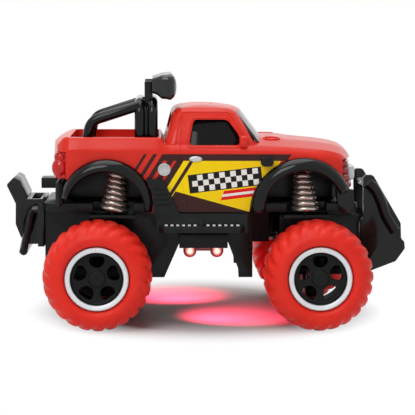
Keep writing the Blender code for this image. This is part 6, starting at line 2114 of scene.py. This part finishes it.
class Glow(NamedTuple):
    """Red light of one side's lamps: its name, its place and the spot's middle, in millimetres."""

    name: str
    place: Triple
    aim: Triple


@dataclass
class Studio:
    """Floor, light and the camera at the photograph's place.

    Attributes:
        eye: Place of the camera in millimetres.
        yaw: Turn of the view towards +X.
        pitch: Turn of the view downwards.
        roll: Turn of the picture.
        focal: Focal length in pixels of the photograph.
        shadow_reach: Radius of the shade painted into the floor's colour around the car, over the car's
            real shadow.
        shadow_back: How far its middle lies behind the car's.
        shadow_stretch: How much shorter than wide it is.
        shadow_ramp: Shares of the radius where the floor starts to pale and where it is pale.
        white_ramp: The same for the plain white.
        aim: Height that the soft boxes face.
        sky: Strength of the surround as a light.
    """

    eye: Triple = (-17.43, -580.8, 98.23)
    yaw: float = 0.0314
    pitch: float = 0.1029
    roll: float = 0.0032
    focal: float = 1622.7
    sensor: float = 36.0
    floor_half: float = 4.0
    shadow_reach: float = 78 * MM
    shadow_back: float = 11 * MM
    shadow_stretch: float = 1.15
    shadow_ramp: Pair = (0.42, 0.96)
    white_ramp: Pair = (0.62, 0.96)
    # Colour of the floor at the car's middle: a painted shadow
    shade: Colour = (0.29, 0.26, 0.26)
    pale: tuple[Colour, Colour] = ((0.95, 0.95, 0.95), (0.92, 0.92, 0.92))
    pale_patch: float = 60.0
    floor_roughness: float = 0.4
    floor_specular: float = 0.01
    aim: float = 40 * MM
    boxes: tuple[SoftBox, ...] = (SoftBox("top_box", (-0.05, 0.02, 0.9), (0.8, 0.6), 4.25),
                                  SoftBox("front_box", (-0.3, -0.75, 0.7), (0.5, 0.45), 4.0))
    glows: tuple[Glow, ...] = (Glow("glow_left", (-9, 29, 23), (-10, 36, 0)),
                               Glow("glow_right", (-1, -18, 22), (9, -9, 0)))
    glow_colour: Colour = (1.0, 0.05, 0.12)
    glow_power: float = 0.32
    glow_angle: float = math.radians(96.0)
    glow_size: float = 2 * MM
    sky: float = 0.3

    def camera(self) -> None:
        """Set up the camera."""
        data = bpy.data.cameras.new("photo_camera")
        data.sensor_width = self.sensor
        data.lens = self.sensor * self.focal / PHOTO_PIXELS
        data.clip_start = 0.01
        camera = bpy.data.objects.new("photo_camera", data)
        level = math.cos(self.pitch)
        forward = Vector((math.sin(self.yaw) * level, math.cos(self.yaw) * level, -math.sin(self.pitch)))
        right = forward.cross(Vector((0, 0, 1))).normalized()
        up = right.cross(forward)
        turn = Matrix((right, up, -forward)).transposed().to_4x4() @ Matrix.Rotation(self.roll, 4, "Z")
        camera.matrix_world = Matrix.Translation(Vector(self.eye) * MM) @ turn
        bpy.context.scene.collection.objects.link(camera)
        bpy.context.scene.camera = camera

    def floor(self) -> None:
        """Lay a wide pale floor with a soft shade painted into its colour under the car, over the car's
        real shadow.
        """
        mesh = bpy.data.meshes.new("floor")
        bm = bmesh.new()
        bmesh.ops.create_grid(bm, x_segments=1, y_segments=1, size=self.floor_half)
        bm.to_mesh(mesh)
        bm.free()
        floor = bpy.data.objects.new("floor", mesh)
        bpy.context.scene.collection.objects.link(floor)
        shader = Shader("floor_white")
        x, y, _ = shader.place()
        along = shader.math("MULTIPLY", x, self.shadow_stretch)
        behind = shader.math("SUBTRACT", y, self.shadow_back / MM)
        away = shader.distance(along, behind)
        pale = shader.mix(shader.noise(self.pale_patch), *self.pale)
        # Painted shadow: the floor's colour goes from the shade near the car to pale further out
        near = shader.ramp(away, *(share * self.shadow_reach / MM for share in self.shadow_ramp))
        shader.set(Base_Color=shader.mix(near, self.shade, pale), Roughness=self.floor_roughness,
                   Specular_IOR_Level=self.floor_specular)
        white = shader.ramp(away, *(share * self.shadow_reach / MM for share in self.white_ramp))
        self._whiten(shader, white)
        mesh.materials.append(shader.material)

    @staticmethod
    def _whiten(shader: Shader, share: Socket) -> None:
        """Let the floor run out into plain white beyond the car's shadow, and be clear from below.

        Args:
            shader: The floor's material.
            share: 1 where the floor is plain white.
        """
        link = shader.tree.links.new
        white = shader.node("Emission", Color=WHITE, Strength=1.0)
        mixed = shader.node("MixShader", Fac=shader.math("MULTIPLY", share, shader.seen()))
        link(shader.surface.outputs[0], mixed.inputs[1])
        link(white.outputs[0], mixed.inputs[2])
        below = shader.node("MixShader", Fac=shader.node("NewGeometry").outputs["Backfacing"])
        link(mixed.outputs[0], below.inputs[1])
        link(shader.node("BsdfTransparent").outputs[0], below.inputs[2])
        link(below.outputs[0], shader.tree.nodes["Material Output"].inputs["Surface"])

    def lamp(self, box: SoftBox) -> None:
        """Set up a soft box.

        Args:
            box: The soft box.
        """
        data = bpy.data.lights.new(box.name, "AREA")
        data.shape = "RECTANGLE"
        data.size, data.size_y = box.size
        data.energy = box.power
        self._aim(data, Vector(box.place), Vector((0, 0, self.aim)))

    def glow(self, glow: Glow) -> None:
        """Throw the red light of one side's lamps on the floor.

        Args:
            glow: The light.
        """
        data = bpy.data.lights.new(glow.name, "SPOT")
        data.color = self.glow_colour
        data.energy = self.glow_power
        data.spot_size = self.glow_angle
        data.spot_blend = 1.0
        data.shadow_soft_size = self.glow_size
        self._aim(data, Vector(glow.place) * MM, Vector(glow.aim) * MM)

    @staticmethod
    def _aim(light: bpy.types.Light, place: Vector, aim: Vector) -> None:
        """Stand a lamp up.

        Args:
            light: Its light.
            place: Where it stands.
            aim: The point that it lights.
        """
        lamp = bpy.data.objects.new(light.name, light)
        turn = (aim - place).to_track_quat("-Z", "Y").to_matrix().to_4x4()
        lamp.matrix_world = Matrix.Translation(place) @ turn
        bpy.context.scene.collection.objects.link(lamp)

    def world(self) -> None:
        """Set up a surround that is white to look at, also in mirrors and glass, and dimmer as a light."""
        world = bpy.data.worlds.new("studio")
        bpy.context.scene.world = world
        world.use_nodes = True
        wiring = Wiring(world.node_tree)
        background = wiring.tree.nodes["Background"]
        wiring.feed(background.inputs["Color"], WHITE)
        wiring.feed(background.inputs["Strength"], wiring.ramp(wiring.seen(), 0.0, 1.0, self.sky, 1.0))

    def build(self) -> None:
        """Set up the studio."""
        self.camera()
        self.floor()
        self.world()
        for box in self.boxes:
            self.lamp(box)
        for glow in self.glows:
            self.glow(glow)
        bpy.context.scene.view_settings.view_transform = "Standard"


def main() -> None:
    """Dress the car and set up its studio."""
    logging.basicConfig(level=logging.INFO, format="%(name)s %(message)s")
    wardrobe = Wardrobe()
    wardrobe.dress()
    shop = Workshop(wardrobe)
    Wheels(shop).build()
    Springs(shop).build()
    body = Shell(shop)
    shell = body.build()
    Flares(shop, body).build()
    RollBar(shop).build()
    Lenses(shop, body).build()
    NoseTrim(shop).build()
    SideTrim(shop, Probe(shell)).build()
    Studio().build()


if __name__ == "__main__":
    main()
